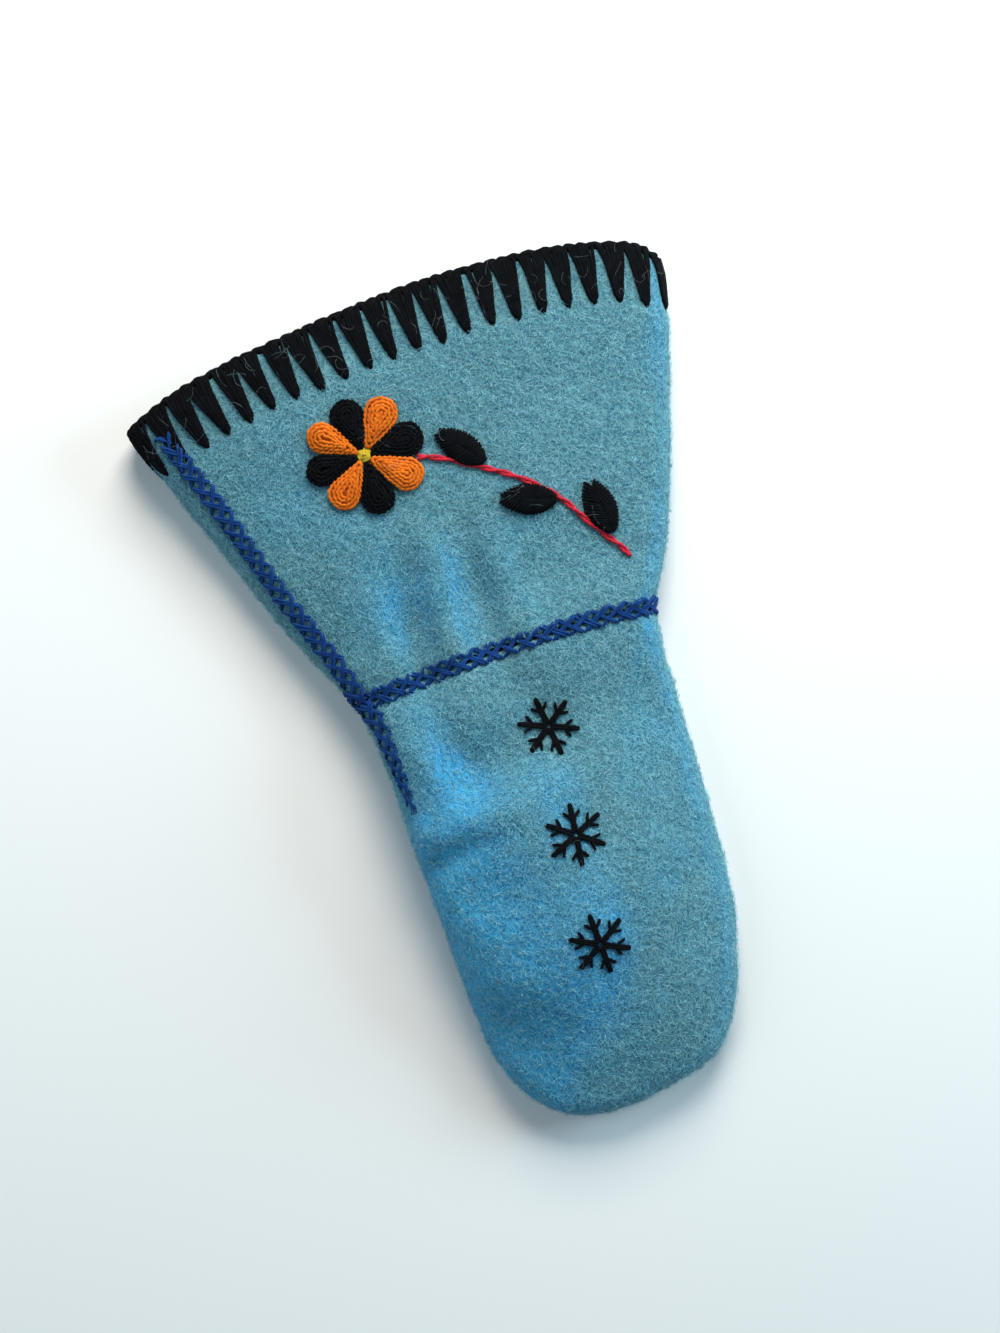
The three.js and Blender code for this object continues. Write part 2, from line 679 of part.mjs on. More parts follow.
// A closed pillow over the thumb's outline, moved inwards by inset
function thumbPillow(inset) {
  const [base, tip] = [THUMB_BASE, THUMB_TIP];
  const axis = Math.atan2(tip.y - base.y, tip.x - base.x);
  const arcOf = (end, from, to) => (share) => {
    const angle = axis + lerp(from, to, share);
    const r = end.r - inset;
    return new THREE.Vector3(end.x + r * Math.cos(angle), end.y + r * Math.sin(angle), 0);
  };
  const quarter = Math.PI / 2;
  const corner = quarter * 1.5;
  const sideOf = (turn) => {
    const [a, b] = [arcOf(base, turn, turn)(0), arcOf(tip, turn, turn)(0)];
    const start = arcOf(base, turn * 1.5, turn);
    const end = arcOf(tip, turn, turn * 0.5);
    return (share) => {
      if (share < 0.2) return start(share / 0.2);
      if (share > 0.85) return end((share - 0.85) / 0.15);
      return a.clone().lerp(b, (share - 0.2) / 0.65);
    };
  };
  const plan = area(
    arcOf(base, -corner, -corner - quarter),
    arcOf(tip, -quarter / 2, quarter / 2),
    sideOf(-quarter),
    sideOf(quarter),
  );
  const fold = THUMB_HEIGHT / 2;
  const rim = Array.from({ length: 120 }, (_, k) => {
    const share = (k % 60) / 60;
    return (k < 60 ? arcOf(base, quarter, 3 * quarter) : arcOf(tip, -quarter, quarter))(share);
  });
  rim.push(rim[0]);
  const face = (sign) =>
    Array.from({ length: THUMB_CELLS + 1 }, (_, j) =>
      Array.from({ length: THUMB_CELLS + 1 }, (_, i) => {
        const p = plan(towardsFolds(i / THUMB_CELLS), towardsFolds(j / THUMB_CELLS));
        const atFold = i % THUMB_CELLS === 0 || j % THUMB_CELLS === 0;
        const distance = atFold ? 0 : distanceTo(rim, p.x, p.y);
        p.z = fold + sign * (fold - inset) * rounding(distance, THUMB_EDGE - inset);
        return p;
      }),
    );
  const corners = [];
  addSheet(corners, face(1), true);
  addSheet(corners, face(-1), false);
  return solidOf(geometryOf(corners));
}

const COLOURS = {
  wool: 0x4f9cb8,
  black: 0x14161b,
  orange: 0xf07a1c,
  yellow: 0xd9b01f,
  red: 0xb8202c,
  blue: 0x16489e,
};

function piece(name, geometry, colour) {
  const material = new THREE.MeshStandardMaterial({ color: COLOURS[colour], roughness: 0.95, metalness: 0 });
  const mesh = new THREE.Mesh(geometry, material);
  mesh.name = name;
  return mesh;
}

const mouth = mouthSolid();
const hand = clothTube(handArea, handInside, HAND_ROWS, towardsTip, false, -GAP / 2);
const cuff = clothTube(cuffArea, cuffInside, CUFF_ROWS, (share) => share ** 1.25, true, GAP / 2);
const thumb = thumbPillow(0).subtract(thumbPillow(CLOTH)).subtract(mouth);

const mitten = new THREE.Group();
mitten.add(
  piece("cuff", cuff, "wool"),
  piece("hand", geometryOfSolid(solidOf(hand).subtract(mouth)), "wool"),
  piece("thumb", geometryOfSolid(thumb), "wool"),
  piece("rim_stitching", rimStitching(), "black"),
  piece("wrist_stitching", wristStitching(), "blue"),
  piece("cuff_side_stitching", sideStitching(CUFF_SIDE_ROW), "blue"),
  piece("hand_side_stitching", sideStitching(HAND_SIDE_ROW), "blue"),
  ...PETALS.map((petal) => piece(petal.name, paddedShape(petalOutline(petal), PADDING), petal.yarn)),
  piece("stem", stemGeometry(), "red"),
  ...LEAVES.map((leaf) => piece(leaf.name, leafGeometry(leaf), "black")),
  ...STARS.map((star) => piece(star.name, paddedShape(starOutline(star), YARN, [1, 0.7, 0.4]), "black")),
);

const knotOutline = Array.from({ length: 12 }, (_, k) => {
  const angle = degrees(k * 30);
  return new THREE.Vector2(FLOWER.x + KNOT_RADIUS * Math.cos(angle), FLOWER.y + KNOT_RADIUS * Math.sin(angle));
});
mitten.add(piece("flower_knot", paddedShape(knotOutline, PADDING, [1, 0.6]), "yellow"));

// The origin goes to the bottom centre of the whole mitten.
const box = new THREE.Box3().setFromObject(mitten);
const middle = box.getCenter(new THREE.Vector3());
mitten.position.set(-middle.x, -middle.y, -box.min.z);

const part = new THREE.Group();
part.add(mitten);
export default part;
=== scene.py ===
# The looks of an embroidered wool mitten with a flared gauntlet cuff, lying palm down.
# Shapes are worked out in millimetres in the pattern frame: X across the back of the hand, Y towards the
# cuff's rim, Z up, with the origin at the middle of the wrist seam. Blender gets metres in the row frame.
import math

import bmesh
import bpy
import numpy as np
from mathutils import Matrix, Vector
from mathutils.bvhtree import BVHTree


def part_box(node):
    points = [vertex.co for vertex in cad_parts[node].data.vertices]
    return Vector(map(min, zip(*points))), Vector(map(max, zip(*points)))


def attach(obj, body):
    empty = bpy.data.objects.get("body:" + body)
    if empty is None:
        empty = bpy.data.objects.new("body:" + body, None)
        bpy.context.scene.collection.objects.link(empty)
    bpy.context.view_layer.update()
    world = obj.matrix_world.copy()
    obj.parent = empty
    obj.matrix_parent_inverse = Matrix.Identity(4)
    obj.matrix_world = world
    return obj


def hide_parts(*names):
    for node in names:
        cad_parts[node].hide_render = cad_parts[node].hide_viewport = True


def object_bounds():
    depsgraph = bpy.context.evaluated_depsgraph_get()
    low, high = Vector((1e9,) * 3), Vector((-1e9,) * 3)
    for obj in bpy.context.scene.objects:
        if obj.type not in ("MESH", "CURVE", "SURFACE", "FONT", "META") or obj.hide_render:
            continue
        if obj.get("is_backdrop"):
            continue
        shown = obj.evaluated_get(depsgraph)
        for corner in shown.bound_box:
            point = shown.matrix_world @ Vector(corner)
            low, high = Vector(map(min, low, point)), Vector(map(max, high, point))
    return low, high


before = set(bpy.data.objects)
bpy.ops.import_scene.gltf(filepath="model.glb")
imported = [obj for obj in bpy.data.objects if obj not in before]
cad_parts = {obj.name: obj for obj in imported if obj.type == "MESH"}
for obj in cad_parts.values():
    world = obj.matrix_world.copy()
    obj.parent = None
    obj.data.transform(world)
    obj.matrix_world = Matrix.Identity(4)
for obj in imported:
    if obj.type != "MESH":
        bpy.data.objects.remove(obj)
CAD_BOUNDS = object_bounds()

# The pattern frame's place in the row frame, from the flower's knot
KNOT = (-34.0, 97.3)
knot_low, knot_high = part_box("flower_knot")
SHIFT = np.array([
    (knot_low[0] + knot_high[0]) * 500 - KNOT[0],
    (knot_low[1] + knot_high[1]) * 500 - KNOT[1],
    0.0,
])

# The pattern's lines, as in the solids
RIM = [
    (-126, 134.5), (-103, 143), (-80, 148), (-40, 153), (5, 156.5), (50, 155), (80, 150.5), (98, 145),
    (107.5, 136.5),
]
WRIST = [(-70.5, 1), (-50, 2.2), (-25, 4.2), (10, 5.4), (40, 4.8), (62, 3)]

# The blanket stitch: how many fans go round the rim, their strands and the yarn's radii
FANS = 44
FAN_LENGTH = 25.8
FAN_STRANDS = 8
FAN_YARN = 0.74
FAN_POINTS = 22
UNDER_STRANDS = 6
UNDER_YARN = 0.7
UNDER_POINTS = 12
FIRST_FAN_X = 0.5
# Shares of a fan's length, and its half width there as a share of the fans' spacing
FAN_PROFILE = ([0, 0.24, 0.56, 0.78, 0.9, 1.0], [0.425, 0.345, 0.25, 0.18, 0.155, 0.12])
SLIT = 0.034  # half of a fan's slit at the rim, as a share of the fans' spacing
# Distances from the rim and from the wrist seam where the cloth's outer face is measured
CUFF_LEVELS = (3.0, 6.0, 10.0, 15.0, 20.0, 25.0, 30.0)
HAND_WRIST_LEVELS = (-6.0, -4.0, -1.2)
CUFF_WRIST_LEVELS = (1.2, 4.0, 6.0)

# The cord on the rim's cut edge: points round it, radius, and how far it turns out from the edge
CORD_POINTS = 560
CORD_YARN = 1.3
CORD_OUT = 0.9
CORD_IN = 1.1

# The blue double herringbone: a band's width, the length of one cross, how many crosses a strand runs
# over, the yarn's radius, half the distance of paired strands, and how far a strand strays
BAND_WIDTH = 8.0
BAND_PITCH = 7.0
BAND_SPAN = 1.42
BAND_YARN = 0.6
BAND_PAIR = 0.64
BAND_UNEVEN = 0.42
SIDE_BAND_END_Y = 131

# The middle of the band beside the left fold: x, y and the band's width
SIDE_BAND = [
    (-58.8, -48, 2.2), (-59.0, -40, 3.6), (-59.7, -30, 5.0), (-60.6, -20, 6.0), (-61.8, -10, 7.0),
    (-64.2, -2, 7.6), (-66.8, 6, 7.8), (-70.6, 18, 7.8), (-76.2, 33, 7.8), (-81.4, 46, 7.8),
    (-86.2, 60, 7.8), (-89.6, 70, 7.8), (-92.8, 80, 7.8), (-96.0, 90, 7.8), (-99.4, 100, 7.8),
    (-103.4, 111, 7.8), (-107.5, 122, 7.8), (-111, 132, 7.8),
]

# The flower's petals: name, turn in degrees from +X, length, width and colour
PETALS = [
    ("petal_black_1", 96, 24.5, 14.0, "black"),
    ("petal_orange_1", 50.5, 25.5, 13.8, "orange"),
    ("petal_black_2", 4, 25.5, 14.6, "black"),
    ("petal_orange_2", -41.5, 26, 13.8, "orange"),
    ("petal_black_3", -89, 25, 14.4, "black"),
    ("petal_orange_3", -134.5, 24.5, 13.4, "orange"),
    ("petal_black_4", 182, 25, 13.2, "black"),
    ("petal_orange_4", 140, 25, 13.0, "orange"),
]
PETAL_START = 1.9
PETAL_YARN = 0.8
PETAL_CLOSE = 0.9  # from one loop to the next, as a share of the yarn's width
PETAL_DOME = 1.9
KNOT_TURNS = 2.6
KNOT_RADIUS = 2.7
KNOT_YARN = 0.85

# The stem's middle line, and the radius and turning length of its two strands
STEM = [
    (-13.5, 90.2), (-8, 88.2), (0, 84.3), (10, 78.3), (20, 72), (27, 66.5), (33, 61), (38.5, 54.5),
    (43.5, 46.5), (50, 36.8), (54.3, 31.2), (57.5, 25.2),
]
STEM_STEP = 0.6
STEM_YARN = 0.72
STEM_TURN = 19.0
STEM_ASIDE = 0.64

# Leaves: name, x and y of the tip at the stem, turn in degrees, length and width
LEAVES = [
    ("leaf_1", 12, 80, 130.5, 24.5, 13.5),
    ("leaf_2", 35.2, 56.5, 162, 24.5, 13.5),
    ("leaf_3", 53, 37, 97, 25, 14.0),
]
LEAF_YARN = 0.74
LEAF_CLOSE = 0.93  # from one strand to the next, as a share of the yarn's width
LEAF_DOME = 1.5

# Stars: name, x, y and turn in degrees
STARS = [("star_1", 4, -31, 8), ("star_2", 1, -76, -6), ("star_3", -3, -121, 3)]
STAR_RADIUS = 13.0
STAR_YARN = 0.74
STAR_PAIR = 0.62  # half the distance of a ray's two strands
BARB_YARN = 0.66
BARB_START = (6.4, 0.4)
BARB_END = (9.6, 3.4)

# Soft folds and dents of the back: centre, reach along and across, turn from +Y in degrees, rise.
# The felt has the folds of FOLDS in place of the solids' simpler ones.
SOLID_FOLDS = [
    (-50, 14, 16, 6, 5, -2.0), (-40, 26, 28, 7, 5, 2.2), (-26, 25, 30, 6.5, -8, -4.2),
    (-13, 26, 27, 6.5, -5, 2.6), (2, 26, 27, 6.5, -3, -4.0), (14, 24, 24, 7, 0, 2.6),
    (28, 16, 18, 7, 4, -1.2), (-41, -32, 22, 9, 4, -7.0), (-53, -32, 24, 6, 0, 1.5),
    (-54, -58, 8, 8, 0, -3.0), (-30, -64, 30, 9, 105, 4.0), (-40, -84, 16, 14, 0, -1.6),
    (47, -37, 9, 9, 0, -2.0),
]
ROUNDING_LEVELS = 2
SOLID_SHARE = 0.85  # what is left of the solids' folds once the felt's faces are rounded
FOLDS = [
    (-55, 22, 28, 10, 0, 1.9), (-34, 20, 32, 8, -6, -3.8), (-21, 21, 30, 7.5, -4, 2.5),
    (-4, 25, 28, 7.5, -2, -3.1), (9, 23, 26, 8, 0, 2.2), (24, 20, 20, 8, 3, -1.1),
    (0, 1, 15, 48, 0, 2.8), (8, -33, 14, 30, 0, -1.8),
    (-19, -41, 18, 18, 12, -8.8), (-35, -37, 20, 9, 16, -3.0), (-50, -32, 22, 7, 8, 2.2),
    (-47, -68, 15, 6, 108, -3.0), (-27, -59, 28, 9, 102, 5.6), (-40, -84, 16, 14, 0, -1.6),
    (47, -37, 9, 9, 0, -2.0), (20, -85, 48, 17, 0, 3.8), (-14, -85, 40, 14, 0, -1.4),
]

# The small unevenness of thick cloth: rise, the noise's seed and its reach. It starts above REST_HEIGHT
# and is full at FREE_HEIGHT, because the cloth is flat where it rests.
BUMPS = [(0.30, 11, 26), (0.16, 12, 9)]
REST_HEIGHT = 1.5
FREE_HEIGHT = 5.5
FLOOR_GAP = 0.02

# Patches where the wool is painted bluer and brighter, partly a purer dye and partly painted light on lit
# slopes such as the hollow below the wrist; the patch with a negative strength is painted shade on the tip,
# which faces away from the light: centre, reach and strength
TINT_AND_LIGHT_PATCHES = [
    (-40, 38, 24, 0.5), (-37, -40, 18, 0.42), (-44, -13, 15, 0.5), (-70, 90, 26, 0.3),
    (10, 50, 20, 0.2), (-28, -135, 36, 0.12), (-20, -184, 20, -0.4),
]

# The picture: how the camera is turned, the scale, and where the pattern's origin is in it
CAMERA_TURN = 17.7
MM_PER_PIXEL = 0.41
SEAM_PIXEL = (516, 657)
PICTURE_SIZE = (1000, 1333)
CAMERA_HEIGHT = 900.0
SENSOR = 36
CAMERA_WAY = math.radians(CAMERA_TURN)

UP = Vector((0, 0, 1))
OVER_ALL = 90.0  # a height over the whole mitten


# Numbers and lines

def smooth_line(points, count):
    """A Catmull-Rom line through table rows, as count points."""
    p = np.asarray(points, float)
    ends = np.vstack([2 * p[0] - p[1], p, 2 * p[-1] - p[-2]])
    t = np.linspace(0, len(p) - 1, count)
    k = np.minimum(t.astype(int), len(p) - 2)
    f = (t - k)[:, None]
    a, b, c, d = ends[k], ends[k + 1], ends[k + 2], ends[k + 3]
    return 0.5 * (2 * b + (c - a) * f + (2 * a - 5 * b + 4 * c - d) * f**2 + (3 * b - a - 3 * c + d) * f**3)


def lengths_along(p):
    """The length of a line up to each of its points."""
    return np.concatenate([[0], np.cumsum(np.linalg.norm(np.diff(p, axis=0), axis=1))])


def places_at(far, lengths, p):
    """The places that lie far along line p, from the lengths up to its points."""
    return np.column_stack([np.interp(far, lengths, column) for column in p.T])


def resample(points, step):
    """The same line with points about step apart."""
    p = np.asarray(points, float)
    lengths = lengths_along(p)
    count = max(int(round(lengths[-1] / step)), 2) + 1
    return places_at(np.linspace(0, lengths[-1], count), lengths, p)


RIM_LINE = smooth_line(RIM, 400)
WRIST_LINE = smooth_line(WRIST, 200)


def below_rim(p):
    return np.interp(p[:, 0], RIM_LINE[:, 0], RIM_LINE[:, 1]) - p[:, 1]


def above_wrist(p):
    return p[:, 1] - np.interp(p[:, 0], WRIST_LINE[:, 0], WRIST_LINE[:, 1])


def unit(v):
    return v / np.maximum(np.linalg.norm(v, axis=-1, keepdims=True), 1e-12)


# Materials

class Shading:
    """A new material with its shader, and short ways to add nodes to it."""

    def __init__(self, name):
        self.material = bpy.data.materials.new(name)
        self.material.use_nodes = True
        self.tree = self.material.node_tree
        self.shader = self.tree.nodes["Principled BSDF"]

    def fill(self, node, values):
        """Puts a number, vector, colour or another node's output into each socket, by name or number."""
        for name, value in values.items():
            socket = node.inputs[name]
            if isinstance(value, bpy.types.NodeSocket):
                self.tree.links.new(value, socket)
            elif socket.type == "RGBA":
                socket.default_value = (*value, 1)
            else:
                socket.default_value = value

    def add(self, kind, values=None):
        node = self.tree.nodes.new("ShaderNode" + kind)
        self.fill(node, values or {})
        return node

    def object_place(self):
        return self.add("TexCoord").outputs["Object"]

    def noise(self, vector, scale, detail, distortion=0.0, roughness=0.5, output="Fac"):
        return self.add("TexNoise", {
            "Vector": vector, "Scale": scale, "Detail": detail, "Distortion": distortion,
            "Roughness": roughness,
        }).outputs[output]

    def math(self, operation, *values):
        n = self.add("Math", dict(enumerate(values)))
        n.operation = operation
        return n.outputs[0]

    def ramp(self, factor, stops):
        n = self.add("ValToRGB", {"Fac": factor})
        elements = n.color_ramp.elements
        while len(elements) < len(stops):
            elements.new(0.5)
        for element, (position, colour) in zip(elements, stops):
            element.position = position
            element.color = (*colour, 1)
        return n.outputs["Color"]

    def mix(self, factor, a, b, blend="MIX"):
        n = self.add("Mix")
        n.data_type = "RGBA"
        n.blend_type = blend
        self.fill(n, {"Factor": factor, 6: a, 7: b})
        return n.outputs[2]

    def streaks(self, vector, turn, length, width, low, high):
        """Short fibres in one direction, as noise drawn out along it: 1 on a fibre and 0 between."""
        drawn = self.add("Mapping", {
            "Vector": vector, "Location": (0.013 * turn, 0.007 * turn, 0.003 * turn),
            "Rotation": (0, 0, math.radians(turn)), "Scale": (length, width, width),
        })
        drawn.vector_type = "TEXTURE"
        fibres = self.noise(drawn.outputs[0], 1.0, 1.0, 0.3)
        return self.add("MapRange", {"Value": fibres, "From Min": low, "From Max": high}).outputs["Result"]

    def all_ways(self, vector, turns, *sizes):
        """Fibres in several directions over each other."""
        total = self.streaks(vector, turns[0], *sizes)
        for turn in turns[1:]:
            total = self.math("MAXIMUM", total, self.streaks(vector, turn, *sizes))
        return total

    def finish(self, colour, roughness, specular, sheen=0.0, sheen_roughness=0.5):
        """Sets the shader's colour and surface, and gives the material."""
        self.fill(self.shader, {
            "Base Color": colour, "Roughness": roughness, "Specular IOR Level": specular,
            "Sheen Weight": sheen, "Sheen Roughness": sheen_roughness,
        })
        return self.material

    def bump(self, height, strength, distance):
        n = self.add("Bump", {"Height": height, "Strength": strength, "Distance": distance})
        self.fill(self.shader, {"Normal": n.outputs[0]})


# Fibres drawn on the felt, and dark streaks that are painted shade in the gaps between them: directions in
# degrees, length and width in metres, and the noise's range
PALE_FIBRES = ((12, 58, 101, 149), 0.0075, 0.00050, 0.54, 0.67)
GAP_SHADE_STREAKS = ((33, 80, 127), 0.0060, 0.00058, 0.55, 0.69)
# The felt's colours by its tone, from greyer and darker to purer and brighter blue. The tone holds a real
# tint together with painted light and shade, so the bright blue end is partly painted light on lit slopes
# and the dark end partly painted shade.
FELT_BASE = [
    (0.1, (0.052, 0.188, 0.236)), (0.45, (0.038, 0.200, 0.308)), (0.8, (0.019, 0.250, 0.530)),
    (1.0, (0.024, 0.320, 0.610)),
]
FELT_PALE = [(0.1, (0.23, 0.45, 0.49)), (0.9, (0.11, 0.48, 0.75))]
FELT_BLOTCH = (0.016, 0.095, 0.17)
# Painted shade for the gaps between the felt's fibres
FELT_GAP_SHADE = (0.012, 0.08, 0.15)


def felt_material():
    """Felted wool, bluer and brighter where the cloth's tone attribute is high; that tone holds a real tint
    together with painted light on slopes and painted shade on the tip.
    """
    felt = Shading("felted_wool")
    place = felt.object_place()
    moved = felt.add("Mapping", {
        "Vector": place, "Rotation": (0.7, 0.4, 1.1), "Location": (0.31, 0.17, 0.23),
    })
    stray = felt.noise(place, 130, 1, output="Color")
    aside = felt.add("VectorMath", {0: stray, 1: (0.0048, 0.0048, 0.0048), 2: place})
    aside.operation = "MULTIPLY_ADD"
    curls = felt.all_ways(aside.outputs[0], *PALE_FIBRES)
    gap_shade = felt.all_ways(aside.outputs[0], *GAP_SHADE_STREAKS)
    mottle = felt.noise(moved.outputs[0], 330, 3, 0.6, 0.6)
    fine = felt.noise(place, 1700, 3, 0.5, 0.7)
    slope = felt.add("Attribute")
    slope.attribute_name = "tint_and_painted_light"
    uneven = felt.math("MULTIPLY_ADD", felt.noise(place, 28, 3, 0.4), 0.9, -0.45)
    # The tone: the attribute's tint with its painted light and shade, plus random unevenness of the dye.
    tint_light_and_mottle = felt.math("MULTIPLY_ADD", slope.outputs["Fac"], 1.0, uneven)
    blotch = felt.ramp(mottle, [(0.35, (0, 0, 0)), (0.7, (0.4, 0.4, 0.4))])
    dark = felt.mix(blotch, felt.ramp(tint_light_and_mottle, FELT_BASE), FELT_BLOTCH)
    # Painted shade in the gaps between the felt's fibres
    dark = felt.mix(felt.math("MULTIPLY", gap_shade, 0.6), dark, FELT_GAP_SHADE)
    light = felt.mix(felt.math("MULTIPLY", curls, 0.66), dark, felt.ramp(tint_light_and_mottle, FELT_PALE))
    speck = felt.ramp(fine, [(0.3, (0.88, 0.88, 0.89)), (0.7, (1.10, 1.10, 1.09))])
    height = felt.math("ADD", felt.math("MULTIPLY", curls, 0.8), fine)
    height = felt.math("ADD", height, felt.math("MULTIPLY", mottle, 0.6))
    felt.bump(height, 0.42, 0.0006)
    felt.fill(felt.shader, {"Sheen Tint": (0.45, 0.8, 1.0)})
    return felt.finish(felt.mix(1.0, light, speck, "MULTIPLY"), 0.95, 0.15, 0.35)


def yarn_material(name, low, high, sheen=0.25, shine=0.15):
    """Spun wool between two shades."""
    yarn = Shading(name)
    place = yarn.object_place()
    fibre = yarn.noise(place, 2200, 3, 1.5, 0.7)
    patch = yarn.noise(place, 260, 2, 0.3)
    both = yarn.math("MULTIPLY_ADD", patch, 0.5, yarn.math("MULTIPLY", fibre, 0.6))
    yarn.bump(fibre, 0.5, 0.0003)
    return yarn.finish(yarn.ramp(both, [(0.35, low), (0.75, high)]), 0.85, shine, sheen, 0.4)


def fibre_material(name, low, high):
    """Single hairs between two shades."""
    fibre = Shading(name)
    tone = fibre.noise(fibre.object_place(), 420, 2, 0.2)
    return fibre.finish(fibre.ramp(tone, [(0.35, low), (0.65, high)]), 0.8, 0.2)


FELT = felt_material()
YARN = {
    "black": yarn_material("black_yarn", (0.0008, 0.001, 0.0016), (0.0058, 0.0068, 0.0086), 0.02, 0.05),
    "orange": yarn_material("orange_yarn", (0.50, 0.085, 0.004), (0.92, 0.215, 0.012), 0.05),
    "yellow": yarn_material("yellow_yarn", (0.42, 0.27, 0.01), (0.72, 0.50, 0.04), 0.1),
    "red": yarn_material("red_yarn", (0.34, 0.008, 0.02), (0.68, 0.026, 0.05), 0.1),
    "blue": yarn_material("blue_yarn", (0.002, 0.020, 0.10), (0.006, 0.062, 0.26), 0.04),
}
NAP = fibre_material("wool_nap", (0.12, 0.40, 0.51), (0.34, 0.65, 0.71))
WISP = fibre_material("pale_wisps", (0.06, 0.09, 0.10), (0.24, 0.29, 0.31))
FUZZ = {
    "black": fibre_material("black_fuzz", (0.004, 0.005, 0.007), (0.03, 0.032, 0.036)),
    "orange": fibre_material("orange_fuzz", (0.50, 0.11, 0.01), (0.85, 0.26, 0.03)),
    "blue": fibre_material("blue_fuzz", (0.004, 0.026, 0.12), (0.015, 0.09, 0.32)),
}


# Pieces

def new_object(name, data):
    made = bpy.data.objects.new(name, data)
    bpy.context.scene.collection.objects.link(made)
    return made


def new_piece(name, verts, faces, material, replaced=()):
    """A mesh object from points in pattern millimetres, riding on the body."""
    mesh = bpy.data.meshes.new(name)
    mesh.from_pydata(((np.asarray(verts) + SHIFT) / 1000).tolist(), [], faces)
    mesh.polygons.foreach_set("use_smooth", [True] * len(mesh.polygons))
    mesh.materials.append(material)
    return declare(new_object(name, mesh), replaced)


def declare(piece, replaced=()):
    """Puts the piece on the root body and hides the nodes that it stands for."""
    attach(piece, "root")
    if replaced:
        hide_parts(*replaced)
    return piece


def mesh_arrays(mesh):
    """Points in pattern millimetres and triangles of a Blender mesh."""
    points = np.empty(len(mesh.vertices) * 3)
    mesh.vertices.foreach_get("co", points)
    mesh.calc_loop_triangles()
    triangles = np.empty(len(mesh.loop_triangles) * 3, dtype=np.int32)
    mesh.loop_triangles.foreach_get("vertices", triangles)
    return points.reshape(-1, 3) * 1000 - SHIFT, triangles.reshape(-1, 3)


def tree_of(points, triangles):
    return BVHTree.FromPolygons(points.tolist(), triangles.tolist())


def from_above(tree, x, y):
    """What a ray straight down over a place in plan meets first."""
    return tree.ray_cast(Vector((x, y, OVER_ALL)), -UP)


def face_sizes(points, triangles):
    """The corners, normals and double areas of triangles."""
    corners = points[triangles]
    cross = np.cross(corners[:, 1] - corners[:, 0], corners[:, 2] - corners[:, 0])
    return corners, unit(cross), np.linalg.norm(cross, axis=1)


def soft_noise(points, seed, reach):
    """Smooth random values, mostly from -1 to 1, that vary over about reach millimetres."""
    rng = np.random.default_rng(seed)
    total = np.zeros(len(points))
    for _ in range(10):
        direction = unit(rng.normal(size=3))
        wave = 2 * math.pi / (reach * rng.uniform(0.7, 1.5))
        total += np.sin(points @ direction * wave + rng.uniform(0, 6.3))
    return total / 4


def fold_rise(points, rows):
    """The rise of the back at each point from a table of folds."""
    rise = np.zeros(len(points))
    for x, y, along, across, turn, height in rows:
        c, s = math.cos(math.radians(turn)), math.sin(math.radians(turn))
        dx, dy = points[:, 0] - x, points[:, 1] - y
        u = (dy * c - dx * s) / along
        v = (dx * c + dy * s) / across
        rise += height * np.exp(-u * u - v * v)
    return rise


def upper_wall(mesh, points, normals):
    """How far each point belongs to the cloth's upper wall, from 0 to 1, on both its faces."""
    _, triangles = mesh_arrays(mesh)
    tree = tree_of(points, triangles)
    share = np.clip((np.abs(normals[:, 2]) - 0.15) / 0.4, 0, 1)
    for k in range(len(points)):
        if share[k] == 0:
            continue
        x, y, z = points[k]
        hit = tree.ray_cast(Vector((x, y, z + 0.6)), UP)[0]
        if hit is None:
            on_wall = normals[k, 2] > 0
        else:
            on_wall = normals[k, 2] < 0 and tree.ray_cast(hit + UP * 0.6, UP)[0] is None
        if not on_wall:
            share[k] = 0
    return share


def mesh_normals(mesh):
    normals = np.empty(len(mesh.vertices) * 3)
    mesh.vertices.foreach_get("normal", normals)
    return normals.reshape(-1, 3)


def painted_light_and_tint(points, normals):
    """How blue and bright the wool is painted at each point: painted light on slopes, most on slopes facing
    the camera's right where the blue light falls, a bluer tint low on the left, and the listed patches of
    tint, painted light and painted shade.
    """
    steep = np.degrees(np.arccos(np.clip(np.abs(normals[:, 2]), 0, 1)))
    lower_left = np.clip((18 - points[:, 0]) / 60, 0, 1) * np.clip((-15 - points[:, 1]) / 70, 0, 1)
    sideways = normals[:, 0] * math.cos(CAMERA_WAY) - normals[:, 1] * math.sin(CAMERA_WAY)
    to_right = np.clip(sideways / np.maximum(np.hypot(normals[:, 0], normals[:, 1]), 1e-6), 0, 1)
    on_slope = np.clip((steep - 9) / 18, 0, 1) * np.clip((62 - steep) / 25, 0.1, 1)
    # Painted light: slopes are painted bluer and brighter, most those that face the blue light at the
    # camera's right.
    tone = on_slope * (0.12 + 0.3 * to_right) + lower_left
    for x, y, reach, size in TINT_AND_LIGHT_PATCHES:
        tone += size * np.exp(-((points[:, 0] - x) ** 2 + (points[:, 1] - y) ** 2) / reach**2)
    return tone


def rounded_shell(node, name):
    """A smooth felt piece from a node's shell."""
    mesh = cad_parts[node].data.copy()
    mesh.name = name
    mesh.materials.clear()
    mesh.materials.append(FELT)
    bm = bmesh.new()
    bm.from_mesh(mesh)
    bmesh.ops.remove_doubles(bm, verts=bm.verts, dist=2e-6)
    bmesh.ops.join_triangles(bm, faces=bm.faces, angle_face_threshold=0.9, angle_shape_threshold=0.9)
    bmesh.ops.recalc_face_normals(bm, faces=bm.faces)
    bm.to_mesh(mesh)
    bm.free()
    piece = new_object(name, mesh)
    rounder = piece.modifiers.new("rounder", "SUBSURF")
    rounder.levels = rounder.render_levels = ROUNDING_LEVELS
    graph = bpy.context.evaluated_depsgraph_get()
    smoothed = bpy.data.meshes.new_from_object(piece.evaluated_get(graph))
    piece.modifiers.clear()
    piece.data = smoothed
    return piece


